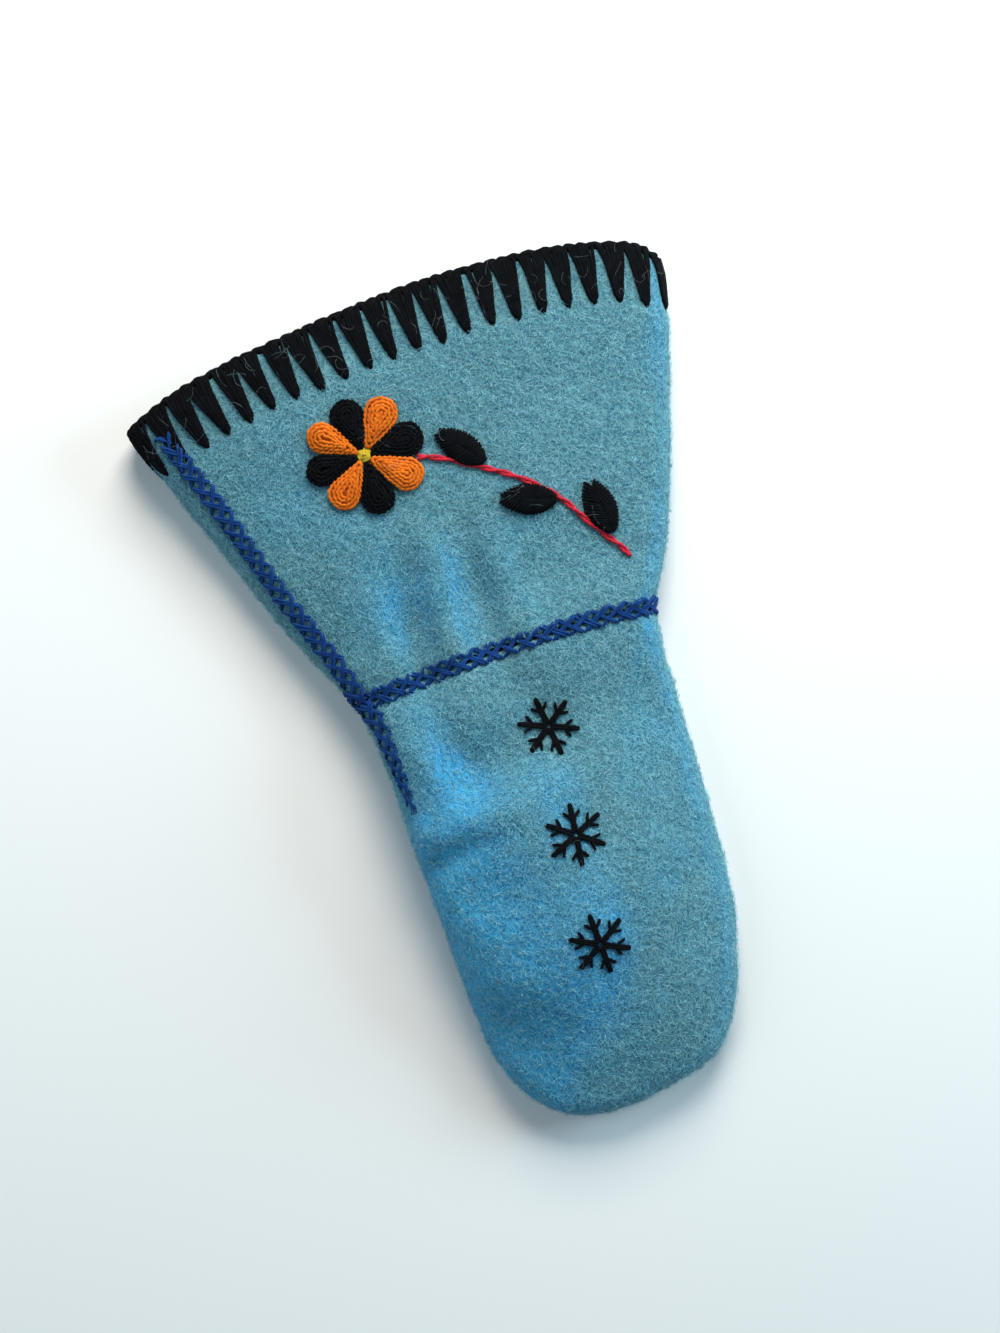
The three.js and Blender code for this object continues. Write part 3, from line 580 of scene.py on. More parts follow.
def cloth_piece(node, name, folded):
    """A node's shell as a smooth felt one, with its folds and the small unevenness of thick cloth."""
    piece = rounded_shell(node, name)
    smoothed = piece.data
    points, _ = mesh_arrays(smoothed)
    normals = mesh_normals(smoothed)
    free = np.clip((points[:, 2] - REST_HEIGHT) / (FREE_HEIGHT - REST_HEIGHT), 0, 1)
    bumps = sum(rise * soft_noise(points, seed, reach) for rise, seed, reach in BUMPS)
    points = points + normals * (bumps * free)[:, None]
    points[:, 2] = np.maximum(points[:, 2], FLOOR_GAP)
    if folded:
        rise = fold_rise(points, FOLDS) - SOLID_SHARE * fold_rise(points, SOLID_FOLDS)
        points[:, 2] += rise * upper_wall(smoothed, points, normals)
    smoothed.vertices.foreach_set("co", ((points + SHIFT) / 1000).ravel())
    smoothed.update()
    # The wool's tint together with painted light on slopes and painted shade at the tip, kept on the points
    # for the felt's colour.
    tone = painted_light_and_tint(points, mesh_normals(smoothed))
    smoothed.attributes.new("tint_and_painted_light", "FLOAT", "POINT").data.foreach_set("value", tone)
    smoothed.polygons.foreach_set("use_smooth", [True] * len(smoothed.polygons))
    smoothed.update()
    declare(piece, [node])
    return piece


cuff = cloth_piece("cuff", "felt_cuff", True)
hand = cloth_piece("hand", "felt_hand", True)
thumb = cloth_piece("thumb", "felt_thumb", False)


def gathered(pieces):
    """The points and triangles of several pieces together."""
    points, triangles, count = [], [], 0
    for piece in pieces:
        p, t = mesh_arrays(piece.data)
        points.append(p)
        triangles.append(t + count)
        count += len(p)
    return np.vstack(points), np.vstack(triangles)


cuff_points, cuff_triangles = mesh_arrays(cuff.data)
hand_points, hand_triangles = mesh_arrays(hand.data)
CLOTH_TREE = tree_of(*gathered([cuff, hand, thumb]))


# Places on the cloth

def on_back(xy):
    """Points and normals of the cloth's upper face above places in plan."""
    places, normals = [], []
    for x, y in np.asarray(xy)[:, :2]:
        hit, normal, _, _ = from_above(CLOTH_TREE, x, y)
        if hit is None:
            hit, normal, _, _ = CLOTH_TREE.find_nearest(Vector((x, y, 12)))
        places.append(hit)
        normals.append(normal)
    places, normals = np.array(places), np.array(normals)
    normals[normals[:, 2] < 0] *= -1
    if len(normals) > 4:
        kernel = np.array([0.25, 0.5, 0.25])
        padded = np.vstack([normals[:1], normals, normals[-1:]])
        normals = np.column_stack([np.convolve(padded[:, k], kernel, "valid") for k in range(3)])
    return places, unit(normals)


def level_loop(points, triangles, values, level):
    """The longest closed line on a mesh where values pass level, from its left end over the top."""
    side = values > level
    sides = side[triangles]
    crossed = triangles[sides.any(1) & ~sides.all(1)]
    near = {}
    spots = {}
    for triangle in crossed.tolist():
        ends = []
        for a, b in ((0, 1), (1, 2), (2, 0)):
            i, j = triangle[a], triangle[b]
            if side[i] == side[j]:
                continue
            key = (min(i, j), max(i, j))
            if key not in spots:
                share = (level - values[key[0]]) / (values[key[1]] - values[key[0]])
                spots[key] = points[key[0]] * (1 - share) + points[key[1]] * share
            ends.append(key)
        near.setdefault(ends[0], []).append(ends[1])
        near.setdefault(ends[1], []).append(ends[0])
    best, best_length = None, 0
    unused = set(near)
    while unused:
        start = min(unused)
        line, last, here = [start], None, start
        unused.discard(start)
        while True:
            onward = [k for k in near[here] if k != last and k in unused]
            if not onward:
                break
            last, here = here, onward[0]
            unused.discard(here)
            line.append(here)
        loop = np.array([spots[k] for k in line])
        length = np.linalg.norm(loop - np.roll(loop, 1, 0), axis=1).sum()
        if length > best_length:
            best, best_length = loop, length
    best = np.roll(best, -int(best[:, 0].argmin()), 0)
    half = int(best[:, 0].argmax())
    if best[1:half, 2].mean() < best[half:, 2].mean():
        best = np.roll(best[::-1], 1, 0)
    return best


class Ring:
    """A line round the mitten, by share: 0 at the left fold, half at the right one, over the top first."""

    def __init__(self, loop):
        self.halves = []
        half = int(loop[:, 0].argmax())
        closed = np.vstack([loop, loop[:1]])
        for part in (closed[: half + 1], closed[half:]):
            lengths = lengths_along(part)
            self.halves.append((lengths / lengths[-1], part))
        self.length = sum(np.linalg.norm(np.diff(part, axis=0), axis=1).sum() for _, part in self.halves)

    def at(self, share):
        share = np.asarray(share, float) % 1.0
        out = np.empty((len(share), 3))
        for k, (lengths, part) in enumerate(self.halves):
            mine = (share >= 0.5) == bool(k)
            local = (share[mine] - 0.5 * k) * 2
            out[mine] = places_at(local, lengths, part)
        return out

    def share_of_x(self, x):
        """The share where the upper half passes x."""
        lengths, part = self.halves[0]
        return 0.5 * np.interp(x, part[:, 0], lengths)


class Sleeve:
    """The cloth's outer face near an edge, from rings at several distances from it."""

    def __init__(self, rings):
        self.levels = np.array([level for level, _ in rings])
        self.rings = [ring for _, ring in rings]

    def at(self, level, share):
        level = np.broadcast_to(np.asarray(level, float), np.shape(share)).astype(float)
        stack = np.array([ring.at(share) for ring in self.rings])
        k = np.clip(np.searchsorted(self.levels, level) - 1, 0, len(self.levels) - 2)
        f = (level - self.levels[k]) / (self.levels[k + 1] - self.levels[k])
        rows = np.arange(len(level))
        return stack[k, rows] * (1 - f)[:, None] + stack[k + 1, rows] * f[:, None]

    def place(self, level, share, off=0.0):
        """Points at a distance off the cloth, with the outward normals."""
        share = np.asarray(share, float)
        level = np.broadcast_to(np.asarray(level, float), share.shape)
        here = self.at(level, share)
        round_step = self.at(level, share + 0.004) - self.at(level, share - 0.004)
        level_step = self.at(level + 1, share) - self.at(level - 1, share)
        normal = unit(np.cross(round_step, level_step))
        outward = np.where((share % 1.0) < 0.5, 1.0, -1.0)
        facing = np.sign(normal[:, 2] * outward + 1e-9)
        sideways = np.abs(normal[:, 2]) < 0.3
        away = here[:, 0] - here[:, 0].mean() if len(here) > 60 else here[:, 0]
        facing = np.where(sideways, np.sign(normal[:, 0] * away + 1e-9), facing)
        normal = normal * facing[:, None]
        return here + normal * np.broadcast_to(off, share.shape)[:, None], normal


def rings_at(levels, points, triangles, values):
    """Rings round the cloth where the points' values pass each level."""
    return [(level, Ring(level_loop(points, triangles, values, level))) for level in levels]


cuff_sleeve = Sleeve(rings_at(CUFF_LEVELS, cuff_points, cuff_triangles, below_rim(cuff_points)))
wrist_sleeve = Sleeve(
    rings_at(HAND_WRIST_LEVELS, hand_points, hand_triangles, above_wrist(hand_points))
    + rings_at(CUFF_WRIST_LEVELS, cuff_points, cuff_triangles, above_wrist(cuff_points))
)
WRIST_LENGTH = wrist_sleeve.rings[len(HAND_WRIST_LEVELS) - 1].length


# Yarn

class Yarn:
    """Closed tubes of yarn gathered into one mesh."""

    def __init__(self):
        self.verts = []
        self.faces = []
        self.count = 0

    def add(self, path, normals, radius, sides=6, closed=False, ply=0.0, pitch=3.4, flat=1.0, phase=0.0):
        """A tube along path, with two plies that turn once in twice the pitch where ply is over 0."""
        p = np.asarray(path, float)
        n = len(p)
        if closed:
            tangent = np.roll(p, -1, 0) - np.roll(p, 1, 0)
        else:
            tangent = np.gradient(p, axis=0)
        tangent = unit(tangent)
        up = unit(normals - (normals * tangent).sum(1)[:, None] * tangent)
        across = np.cross(tangent, up)
        lengths = lengths_along(p)
        if closed:
            whole = lengths[-1] + np.linalg.norm(p[0] - p[-1])
            turns = max(round(whole / pitch), 1)
            spin = lengths / whole * turns * math.pi
        else:
            spin = lengths / pitch * math.pi
        angle = np.arange(sides) * (2 * math.pi / sides)
        size = np.broadcast_to(radius, n)[:, None]
        lobes = 1 + ply * np.cos(2 * (angle[None, :] - spin[:, None] - phase))
        around = (size * lobes)[:, :, None]
        ring = across[:, None, :] * np.cos(angle)[None, :, None]
        ring = ring + up[:, None, :] * (np.sin(angle) * flat)[None, :, None]
        verts = p[:, None, :] + ring * around
        base = self.count
        rows = n if closed else n - 1
        index = np.arange(n * sides).reshape(n, sides) + base
        following = np.roll(index, -1, 0)
        a, b = index[:rows], following[:rows]
        quads = np.stack([a, np.roll(a, -1, 1), np.roll(b, -1, 1), b], axis=2).reshape(-1, 4)
        self.faces.extend(quads.tolist())
        if not closed:
            self.faces.append(index[0][::-1].tolist())
            self.faces.append(index[-1].tolist())
        self.verts.append(verts.reshape(-1, 3))
        self.count += n * sides

    def lay(self, xy, off, radius, **twist):
        """A strand over places in plan, at a distance off the cloth's upper face."""
        points, normals = on_back(xy)
        off = np.broadcast_to(off, len(points))[:, None]
        self.add(points + normals * off, normals, radius, **twist)

    def piece(self, name, material, slot, replaced=()):
        return new_piece(name, np.vstack(self.verts), self.faces, material, replaced)


def rounded_ends(n, radius, share=0.12):
    """Radii along a strand that close in at both ends."""
    t = np.linspace(0, 1, n)
    end = np.clip(np.minimum(t, 1 - t) / share, 0, 1)
    return radius * (0.45 + 0.55 * np.sqrt(end))


rng = np.random.default_rng(7)


def fan_shares():
    """Shares of the fans' tips round the cuff, with one at FIRST_FAN_X on the back."""
    ring = cuff_sleeve.rings[-2]
    first = float(ring.share_of_x(FIRST_FAN_X))
    return (first + np.arange(FANS) / FANS) % 1.0


def evenly(k, count):
    """The place of strand k of count across a fan, from -1 to 1."""
    return (k - (count - 1) / 2) / ((count - 1) / 2)


def add_fans(yarn):
    """Fans of long strands over the rim, each with a slit and with short strands under it."""
    spacing = 1.0 / FANS
    for tip_share in fan_shares():
        reach = FAN_LENGTH + rng.uniform(-1.2, 1.0)
        lean = rng.uniform(-0.08, 0.08) * spacing
        slit = rng.integers(1, FAN_STRANDS - 1)
        for k in range(FAN_STRANDS):
            across = evenly(k, FAN_STRANDS)
            end = reach - 2.4 * across**2 - rng.uniform(0, 0.8)
            levels = np.linspace(-1.2, end, FAN_POINTS)
            down = np.clip(levels / end, 0, 1)
            near_rim = np.clip(1 - down * 2.4, 0, 1)
            spread = np.interp(down, *FAN_PROFILE) * (1 - 0.09 * near_rim)
            aside = SLIT * (1 if k > slit else -1) * near_rim
            wobble = 0.02 * np.sin(down * 5 + rng.uniform(0, 6.3))
            share = tip_share + lean * (1 - down)
            share = share + spacing * (across * spread + aside + wobble * (1 - down))
            off = 0.5 + 0.45 * np.sin(math.pi * np.clip(down * 1.05, 0, 1)) * (1 - 0.45 * abs(across))
            off = off + rng.uniform(-0.1, 0.14)
            off[0] = 0.2
            off[-1] = -0.5
            off[-2] = 0.25
            points, normals = cuff_sleeve.place(levels, share % 1.0, off)
            radius = rounded_ends(FAN_POINTS, FAN_YARN, 0.06)
            yarn.add(points, normals, radius, flat=0.9, ply=0.1, pitch=3.0)
        for k in range(UNDER_STRANDS):
            across = evenly(k, UNDER_STRANDS) * 0.82
            start = 0.42 * reach if abs(across - evenly(slit + 0.5, FAN_STRANDS)) < 0.2 else -0.6
            levels = np.linspace(start, reach * 0.93 - 2.5 * across**2, UNDER_POINTS)
            spread = np.interp(levels / reach, *FAN_PROFILE)
            off = np.full(UNDER_POINTS, 0.15)
            off[-1] = -0.6
            share = tip_share + lean * (1 - levels / reach) + spacing * across * spread
            points, normals = cuff_sleeve.place(levels, share % 1.0, off)
            yarn.add(points, normals, UNDER_YARN, sides=5)


def add_rim_cord(yarn):
    """Two strands twisted round each other over the cloth's cut edge."""
    share = np.arange(CORD_POINTS) / CORD_POINTS
    edge, normals = cuff_sleeve.place(0.0, share, 0.0)
    inner, _ = cuff_sleeve.place(4.0, share, 0.0)
    onward = unit(edge - inner)
    centre = edge + onward * CORD_OUT - normals * CORD_IN
    for strand in range(2):
        angle = 2 * math.pi * FANS * share + strand * math.pi + 0.5 * np.sin(share * 2 * math.pi * 17)
        shift = normals * (np.cos(angle) * 0.95)[:, None] + onward * (np.sin(angle) * 0.8)[:, None]
        size = CORD_YARN + 0.12 * np.sin(share * 2 * math.pi * 61 + strand)
        yarn.add(centre + shift, normals, size, sides=8, closed=True, ply=0.08, pitch=3.4)


def band_strand(yarn, place, along_ends, across_ends, radius):
    """One slanting strand of a herringbone band, which passes over what it crosses at its far end."""
    n = 11
    t = np.linspace(0, 1, n)
    along = along_ends[0] + (along_ends[1] - along_ends[0]) * t
    across = across_ends[0] + (across_ends[1] - across_ends[0]) * t
    off = 0.35 + 0.8 * t + 0.25 * np.sin(math.pi * t)
    off[0] -= 0.9
    off[-1] -= 0.9
    points, normals = place(along, across, off)
    yarn.add(points, normals, rounded_ends(n, radius, 0.1), ply=0.12, pitch=2.6)


def add_band(yarn, place, length, width_at, pitch, closed=False):
    """Double herringbone: two slanting families of paired strands, over and under at the edges."""
    cells = int(round(length / pitch))
    pitch = length / cells
    span = BAND_SPAN * pitch
    for k in range(-1 if not closed else 0, cells):
        for family in (0, 1):
            start = (k + 0.5 * family) * pitch
            for pair in (-1, 1):
                offset = pair * BAND_PAIR + rng.uniform(-1, 1) * BAND_UNEVEN
                first = start + offset
                last = start + span + offset + rng.uniform(-1, 1) * BAND_UNEVEN
                if not closed and (first < -0.5 * pitch or last > length + 0.6 * pitch):
                    continue
                width = width_at((first + last) / 2)
                half = (0.5 if family else -0.5) * (1 + rng.uniform(-0.12, 0.12)) * width
                radius = BAND_YARN * min(1, width / 6) * rng.uniform(0.92, 1.1)
                band_strand(yarn, place, (first, last), (half, -half), radius)


def wrist_place(along, across, off):
    """Places on the band round the wrist seam."""
    return wrist_sleeve.place(across, (np.asarray(along) / WRIST_LENGTH) % 1.0, off)


def side_place_from(line):
    """Functions for places on the side band and its width, and the band's length."""
    middle = line[:, :2]
    lengths = lengths_along(middle)

    def place(along, across, off):
        along = np.clip(along, 0, lengths[-1])
        ahead = unit(places_at(along + 1, lengths, middle) - places_at(along - 1, lengths, middle))
        aside = np.column_stack([-ahead[:, 1] * across, ahead[:, 0] * across])
        points, normals = on_back(places_at(along, lengths, middle) + aside)
        over_row = 1.2 * np.exp(-((points[:, 1] - 2) / 6) ** 2)
        return points + normals * (np.asarray(off) + over_row)[:, None], normals

    def width_at(along):
        return float(np.interp(along, lengths, line[:, 2]))

    return place, width_at, lengths[-1]


def local_to_pattern(x, y, turn, points):
    """Points along and across a petal, leaf or ray as places in the pattern."""
    c, s = math.cos(math.radians(turn)), math.sin(math.radians(turn))
    along, across = points[:, 0], points[:, 1]
    return np.column_stack([x + along * c - across * s, y + along * s + across * c])


def closed_smooth(points, step):
    """A closed smooth line with even steps."""
    p = np.asarray(points, float)
    wrapped = np.vstack([p[-3:], p, p[:3]])
    line = smooth_line(wrapped, 12 * len(wrapped))
    start = 12 * len(wrapped) * 3 // (len(wrapped) - 1)
    end = 12 * len(wrapped) * (3 + len(p)) // (len(wrapped) - 1)
    return resample(line[start:end + 1], step)[:-1]


def teardrop(start, end, width):
    """A loop that is pointed at start and round at end."""
    round_part = width / 2
    angle = np.radians(np.linspace(-115, 115, 15))
    x = end - round_part + round_part * np.cos(angle)
    y = round_part * np.sin(angle)
    mid = start + (x[0] - start) * np.array([0.0, 0.35, 0.7])
    y_mid = y[0] * np.array([0.0, 0.42, 0.78])
    return np.vstack([
        np.column_stack([mid, y_mid]),
        np.column_stack([x, y]),
        np.column_stack([mid[:0:-1], -y_mid[:0:-1]]),
    ])


def add_fishbone(yarn, x, y, turn, length, width):
    """Slanting strands from a leaf's edge to its middle, crossing there in turn."""
    step = 2 * LEAF_YARN * LEAF_CLOSE
    count = int((length - 2) / step) + 2
    for k in range(count):
        for side in (-1, 1):
            start = 1.2 + (k + (0.25 if side > 0 else -0.1)) * step * 0.92
            along = min(start / length, 0.985)
            half = (width / 2 - 0.3) * math.sin(math.pi * along**0.85) ** 0.72
            back = 2.2 + 3.4 * along
            n = 9
            t = np.linspace(0, 1, n)
            flat = np.column_stack([
                start + rng.uniform(-0.2, 0.2) - back * t**1.2,
                side * (half * (1 - t) - 0.7 * t),
            ])
            flat[:, 0] = np.maximum(flat[:, 0], 0.4)
            rise = np.clip(np.sin(math.pi * (0.12 + 0.6 * t)), 0, 1) * min(1, half / 3)
            off = LEAF_YARN * 0.8 + LEAF_DOME * rise
            off[0] = 0.15
            off[-1] -= 0.35
            xy = local_to_pattern(x, y, turn, flat)
            yarn.lay(xy, off, rounded_ends(n, LEAF_YARN, 0.12), ply=0.14, pitch=2.5)


def add_petal(yarn, x, y, turn, end, width):
    """Loops of yarn inside each other that fill a petal, highest in its middle."""
    radius = PETAL_YARN
    step = 2 * radius * PETAL_CLOSE
    loops = max(int(round((width / 2 - radius * 0.4) / step)), 1)
    for k in range(loops + 1):
        inset = radius + k * step
        inner_width = width - 2 * inset
        inner_start = PETAL_START + inset * 1.8
        inner_end = end - inset
        if inner_width < 0.5 or inner_end - inner_start < 1.2:
            break
        inner_width = max(inner_width * (1 + rng.uniform(-0.03, 0.03)), 0.6)
        flatline = closed_smooth(teardrop(inner_start, inner_end, inner_width), 0.62)
        angle = np.linspace(0, 2 * math.pi, len(flatline), endpoint=False)
        for waves, size in ((3, 0.16), (7, 0.12), (13, 0.07)):
            phases = rng.uniform(0, 6.3, 2)
            flatline[:, 0] += size * np.sin(waves * angle + phases[0])
            flatline[:, 1] += size * np.cos(waves * angle + phases[1])
        rise = min(inset / (width / 2), 1)
        off = radius * 0.7 + PETAL_DOME * math.sin(math.pi * (0.08 + 0.52 * rise))
        xy = local_to_pattern(x, y, turn, flatline)
        yarn.lay(xy, off, radius, sides=8, closed=True, ply=0.3, pitch=2.1, phase=rng.uniform(0, 3))
    n = 12
    along = np.linspace(PETAL_START + 0.45 * (end - PETAL_START), end - 0.44 * width, n)
    off = np.full(n, PETAL_DOME * 0.7)
    off[0] = off[-1] = 0.0
    xy = local_to_pattern(x, y, turn, np.column_stack([along, np.zeros(n)]))
    yarn.lay(xy, off, radius * 1.1, sides=8, ply=0.3, pitch=2.1)


def add_knot(yarn):
    """The flower's knot, a short coil that rises to its middle."""
    turns = np.linspace(0, 2 * math.pi * KNOT_TURNS, 90)
    share = turns / turns[-1]
    out = KNOT_RADIUS * (1 - share) ** 0.8
    xy = np.column_stack([KNOT[0] + out * np.cos(turns), KNOT[1] + out * np.sin(turns)])
    yarn.lay(xy, 0.8 + 1.3 * share, KNOT_YARN, sides=8, ply=0.15, pitch=2.4)


def add_stem(yarn):
    """Two strands turned round each other along the stem's line."""
    points, normals = on_back(resample(smooth_line(STEM, 200), STEM_STEP))
    along = np.arange(len(points)) * STEM_STEP
    sideways = np.cross(unit(np.gradient(points, axis=0)), normals)
    for strand in (0, 1):
        angle = along / STEM_TURN * 2 * math.pi + strand * math.pi + 0.5 * np.sin(along / 5)
        high = STEM_YARN + 0.3 * np.sin(angle)
        shift = sideways * (STEM_ASIDE * np.cos(angle))[:, None] + normals * high[:, None]
        yarn.add(points + shift, normals, STEM_YARN, sides=8, ply=0.22, pitch=2.3)


def add_star(yarn, x, y, turn):
    """Six rays of two strands side by side, each with two barbs."""
    n = 20
    barb_n = 9
    for ray in range(6):
        way = turn + 90 + ray * 60
        for aside in (-STAR_PAIR, STAR_PAIR):
            along = np.linspace(0.6, STAR_RADIUS - abs(aside) * 0.4, n)
            flat = np.column_stack([along, aside * np.linspace(1.0, 0.55, n)])
            off = 0.65 + 0.15 * np.sin(np.linspace(0, math.pi, n))
            off[-1] = 0.1
            xy = local_to_pattern(x, y, way, flat)
            yarn.lay(xy, off, rounded_ends(n, STAR_YARN, 0.08), sides=8, ply=0.12, pitch=2.4)
        for lean in (-1, 1):
            flat = np.linspace(BARB_START, BARB_END, barb_n) * (1, lean)
            off = np.full(barb_n, 0.7)
            off[0] = off[-1] = 0.2
            xy = local_to_pattern(x, y, way, flat)
            yarn.lay(xy, off, rounded_ends(barb_n, BARB_YARN, 0.1), sides=8, ply=0.12, pitch=2.4)


def stitched(name, colour, replaced, add, *sizes):
    """A piece of one colour's yarn, which add makes from the sizes."""
    yarn = Yarn()
    add(yarn, *sizes)
    return yarn.piece(name, YARN[colour], colour + "_yarn", replaced)


# Stitching on the cuff's rim and the herringbone rows
yarn_pieces = [
    stitched("rim_blanket_stitch", "black", ["rim_stitching"], add_fans),
    stitched("rim_cord", "black", (), add_rim_cord),
    stitched(
        "wrist_herringbone", "blue", ["wrist_stitching"],
        add_band, wrist_place, WRIST_LENGTH, lambda along: BAND_WIDTH, BAND_PITCH, True,
    ),
]
side_line = smooth_line(SIDE_BAND, 240)
side_place, side_width, side_length = side_place_from(side_line[side_line[:, 1] < SIDE_BAND_END_Y])
yarn_pieces.append(stitched(
    "side_herringbone", "blue", ["cuff_side_stitching", "hand_side_stitching"],
    add_band, side_place, side_length, side_width, BAND_PITCH,
))

# The flower, the stem with its leaves, and the stars
for name, turn, length, width, colour in PETALS:
    yarn_pieces.append(stitched("yarn_" + name, colour, [name], add_petal, *KNOT, turn, length, width))
yarn_pieces.append(stitched("yarn_flower_knot", "yellow", ["flower_knot"], add_knot))
yarn_pieces.append(stitched("yarn_stem", "red", ["stem"], add_stem))
for name, *sizes in LEAVES:
    yarn_pieces.append(stitched("yarn_" + name, "black", [name], add_fishbone, *sizes))
for name, *sizes in STARS:
    yarn_pieces.append(stitched("yarn_" + name, "black", [name], add_star, *sizes))


# Hairs keep clear of the rim's solid too, which reaches between the fans of yarn
stitching = [*yarn_pieces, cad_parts["rim_stitching"]]
YARN_TREE = tree_of(*gathered(stitching))


# The nap: short curled fibres that stand off the cloth

NAP_COUNT = 9000
UNDER_SHARE = 0.25  # how thickly the wool's fibres stand on faces that look down
NAP_LENGTH = (2.0, 4.6)
NAP_LIFT = (0.25, 1.0)
NAP_RADIUS = 0.075


def outer_spots(points, triangles, count, seed):
    """Random places on the cloth's outer face, clear of the stitching, with their normals."""
    draw = np.random.default_rng(seed)
    corners, normal, area = face_sizes(points, triangles)
    wish = area * np.where(normal[:, 2] < -0.2, UNDER_SHARE, 1.0)
    chosen, places, normals = 0, [], []
    while chosen < count:
        picks = draw.choice(len(triangles), size=count, p=wish / wish.sum())
        a, b = draw.random(count), draw.random(count)
        turn = a + b > 1
        a[turn], b[turn] = 1 - a[turn], 1 - b[turn]
        c = corners[picks]
        spots = c[:, 0] + (c[:, 1] - c[:, 0]) * a[:, None] + (c[:, 2] - c[:, 0]) * b[:, None]
        for spot, n in zip(spots, normal[picks]):
            start = Vector(spot + n * 0.4)
            if spot[2] < 0.7 and n[2] < -0.5:
                continue
            if CLOTH_TREE.ray_cast(start, Vector(n), 40)[0] is not None:
                continue
            if YARN_TREE.ray_cast(Vector(spot - n * 0.6), Vector(n), 4)[0] is not None:
                continue
            places.append(spot)
            normals.append(n)
            chosen += 1
            if chosen >= count:
                break
    return np.array(places), np.array(normals)


def nap_piece(name, places, normals, seed, length, lift, thick, material):
    """Curved fibres, each a closed three-sided tube of two lengths."""
    draw = np.random.default_rng(seed)
    n = len(places)
    across = unit(np.cross(normals, unit(draw.normal(size=(n, 3)))))
    side = np.cross(normals, across)
    long = draw.uniform(*length, n)[:, None]
    high = draw.uniform(*lift, n)[:, None]
    curl = draw.uniform(-0.45, 0.45, n)[:, None] * long
    end_high = high * draw.uniform(0.1, 1.2, n)[:, None]
    path = np.stack([
        places - normals * 0.1,
        places + across * long * 0.5 + normals * high + side * curl * 0.6,
        places + across * long * 0.9 + normals * end_high - side * curl * 0.4,
    ], axis=1)
    angle = np.arange(3) * (2 * math.pi / 3)
    size = thick * np.array([1.0, 0.9, 0.35])
    ring = normals[:, None, None, :] * np.sin(angle)[None, None, :, None]
    ring = ring + side[:, None, None, :] * np.cos(angle)[None, None, :, None]
    verts = path[:, :, None, :] + ring * size[None, :, None, None]
    base = (np.arange(n) * 9)[:, None]
    pattern = []
    for row in (0, 3):
        for k in range(3):
            pattern.append([row + k, row + (k + 1) % 3, row + 3 + (k + 1) % 3, row + 3 + k])
    quads = (base[:, :, None] + np.array(pattern)[None]).reshape(-1, 4).tolist()
    caps = (base[:, :, None] + np.array([[2, 1, 0], [6, 7, 8]])[None]).reshape(-1, 3).tolist()
    return new_piece(name, verts.reshape(-1, 3), quads + caps, material)


for name, points, triangles, seed in (
    ("nap_cuff_a", cuff_points, cuff_triangles, 21),
    ("nap_cuff_b", cuff_points, cuff_triangles, 22),
    ("nap_hand_a", hand_points, hand_triangles, 23),
    ("nap_hand_b", hand_points, hand_triangles, 24),
):
    places, normals = outer_spots(points, triangles, NAP_COUNT, seed)
    nap_piece(name, places, normals, seed + 50, NAP_LENGTH, NAP_LIFT, NAP_RADIUS, NAP)


# Short fibres that stand off the yarns

FUZZ_LENGTH = (1.2, 2.8)
FUZZ_LIFT = (0.2, 0.8)
FUZZ_RADIUS = 0.05


def yarn_spots(name, count, seed):
    """Random places on a yarn piece's faces that look up or outwards, with their normals."""
    draw = np.random.default_rng(seed)
    corners, normal, area = face_sizes(*mesh_arrays(bpy.data.objects[name].data))
    wish = area * np.clip(normal[:, 2] + 0.5, 0, 1)
    picks = draw.choice(len(normal), size=count, p=wish / wish.sum())
    return corners[picks].mean(axis=1), normal[picks]


def add_fuzz(colour, sources, seed):
    """One piece of short fibres on several yarn pieces, each with its count of fibres."""
    spots = [yarn_spots(source, count, seed + k) for k, (source, count) in enumerate(sources)]
    places = np.vstack([p for p, _ in spots])
    normals = np.vstack([n for _, n in spots])
    nap_piece(
        "fuzz_" + colour, places, normals, seed + 20,
        FUZZ_LENGTH, FUZZ_LIFT, FUZZ_RADIUS, FUZZ[colour],
    )


black_sources = [("rim_blanket_stitch", 3400)]
black_sources += [("yarn_" + name, 130) for name, *_ in LEAVES + STARS]
black_sources += [("yarn_petal_black_%d" % k, 130) for k in range(1, 5)]
add_fuzz("black", black_sources, 81)
add_fuzz("blue", [("wrist_herringbone", 1500), ("side_herringbone", 1000)], 121)
add_fuzz("orange", [("yarn_petal_orange_%d" % k, 260) for k in range(1, 5)], 161)


# Long loose hairs that cross the black stitching

HAIR_RADIUS = 0.048
both_tree = tree_of(*gathered([cuff, hand, thumb, *stitching]))


def add_wisps(name, count, centres, spread, seed):
    """Loose hairs that lie on cloth and stitching around the given places."""
    draw = np.random.default_rng(seed)
    hairs = Yarn()
    for _ in range(count):
        centre = centres[draw.integers(len(centres))]
        start = np.asarray(centre) + draw.uniform(-1, 1, 2) * spread
        heading = draw.uniform(0, 2 * math.pi)
        bend = draw.uniform(-0.45, 0.45)
        step = draw.uniform(0.7, 1.15)
        xy = [start]
        for _ in range(8):
            heading += bend + draw.uniform(-0.25, 0.25)
            xy.append(xy[-1] + step * np.array([math.cos(heading), math.sin(heading)]))
        path = []
        for x, y in xy:
            hit = from_above(both_tree, x, y)[0]
            if hit is None:
                break
            path.append([x, y, hit[2] + draw.uniform(0.15, 0.5)])
        if len(path) < 6:
            continue
        path = np.array(path)
        hairs.add(path, np.tile([0.0, 0.0, 1.0], (len(path), 1)), HAIR_RADIUS, sides=3)
    return hairs.piece(name, WISP, "wool")


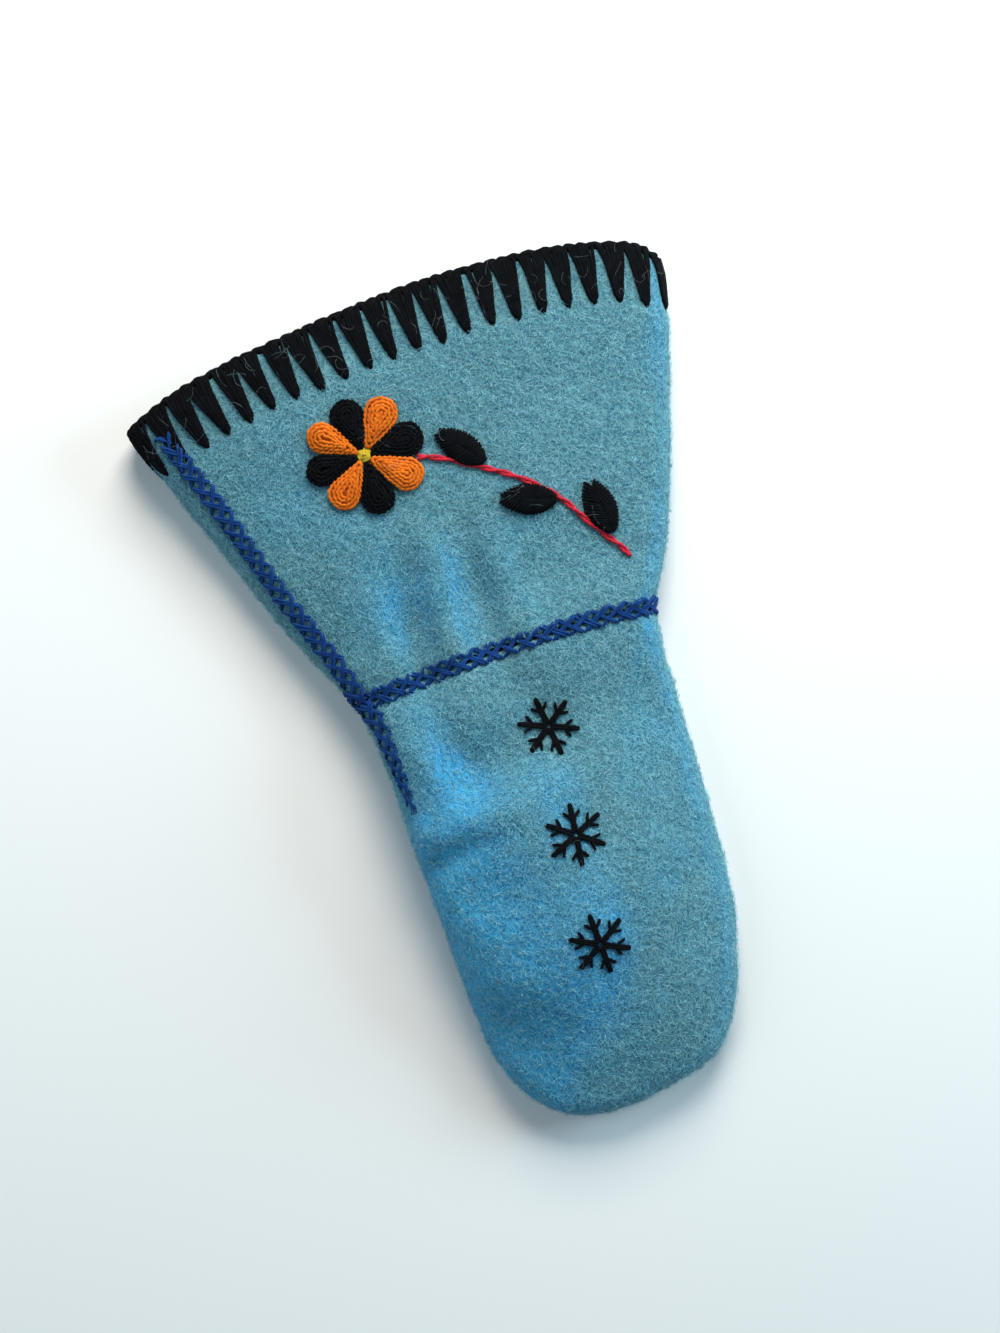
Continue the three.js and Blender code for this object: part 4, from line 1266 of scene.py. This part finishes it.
fan_places = [tuple(p[:2]) for p in cuff_sleeve.at(12.0, fan_shares()) if p[2] > 12]
add_wisps("loose_hairs_rim", 75, fan_places, np.array([5.0, 9.0]), 61)
flower_places = [KNOT] + [(x, y) for _, x, y, *_ in LEAVES]
add_wisps("loose_hairs_flower", 30, flower_places, np.array([18.0, 18.0]), 62)
star_places = [(x, y) for _, x, y, _ in STARS]
add_wisps("loose_hairs_stars", 9, star_places, np.array([12.0, 12.0]), 63)


# The studio

scene = bpy.context.scene
floor_mesh = bpy.data.meshes.new("floor")
floor_mesh.from_pydata([(-3, -3, 0), (3, -3, 0), (3, 3, 0), (-3, 3, 0)], [], [(0, 1, 2, 3)])
floor = new_object("floor", floor_mesh)
paper = Shading("floor_paper")
paper.fill(paper.shader, {"Base Color": (0.93, 0.91, 0.89), "Roughness": 0.9})
floor_mesh.materials.append(paper.material)
floor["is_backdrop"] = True


def area_light(name, place, aim, size, power, colour):
    """A soft rectangular light that faces aim."""
    light = bpy.data.lights.new(name, "AREA")
    light.shape = "RECTANGLE"
    light.size, light.size_y = size
    light.energy = power
    light.color = colour
    lamp = new_object(name, light)
    lamp.location = place
    lamp.rotation_euler = (Vector(aim) - Vector(place)).to_track_quat("-Z", "Y").to_euler()


# The picture's directions on the floor, and the place that its middle shows
right = Vector((math.cos(CAMERA_WAY), -math.sin(CAMERA_WAY), 0))
upward = Vector((math.sin(CAMERA_WAY), math.cos(CAMERA_WAY), 0))
seam = Vector((SHIFT[0], SHIFT[1], 0)) / 1000
from_seam_right = (PICTURE_SIZE[0] / 2 - SEAM_PIXEL[0]) * MM_PER_PIXEL / 1000
from_seam_down = (PICTURE_SIZE[1] / 2 - SEAM_PIXEL[1]) * MM_PER_PIXEL / 1000
centre = seam + right * from_seam_right - upward * from_seam_down


def studio_place(to_right, to_top, up):
    """A place in metres from the picture's middle, along the picture's sides and up."""
    return centre + right * to_right + upward * to_top + Vector((0, 0, up))


area_light("window", studio_place(1.3, 0.45, 0.5), centre, (0.7, 0.6), 18.0, (0.52, 0.83, 1.0))
area_light("top", studio_place(0.1, 1.0, 0.66), centre, (0.7, 0.6), 19.0, (1.0, 0.97, 0.9))
area_light("fill", studio_place(-1.2, -0.2, 0.9), centre, (1.2, 1.2), 7.5, (0.6, 0.86, 1.0))

world = bpy.data.worlds.new("studio")
scene.world = world
world.use_nodes = True
world.node_tree.nodes["Background"].inputs["Color"].default_value = (0.86, 0.94, 1.0, 1)
world.node_tree.nodes["Background"].inputs["Strength"].default_value = 0.15

camera_data = bpy.data.cameras.new("camera")
camera_data.sensor_width = SENSOR
camera_data.lens = SENSOR * CAMERA_HEIGHT / (MM_PER_PIXEL * PICTURE_SIZE[1])
camera = new_object("camera", camera_data)
camera.location = studio_place(0, 0, CAMERA_HEIGHT / 1000 + 0.02)
camera.rotation_euler = (0, 0, -CAMERA_WAY)
scene.camera = camera
scene.view_settings.view_transform = "Standard"

sizes = {"cad": [list(c) for c in CAD_BOUNDS], "visual": [list(c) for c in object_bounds()]}
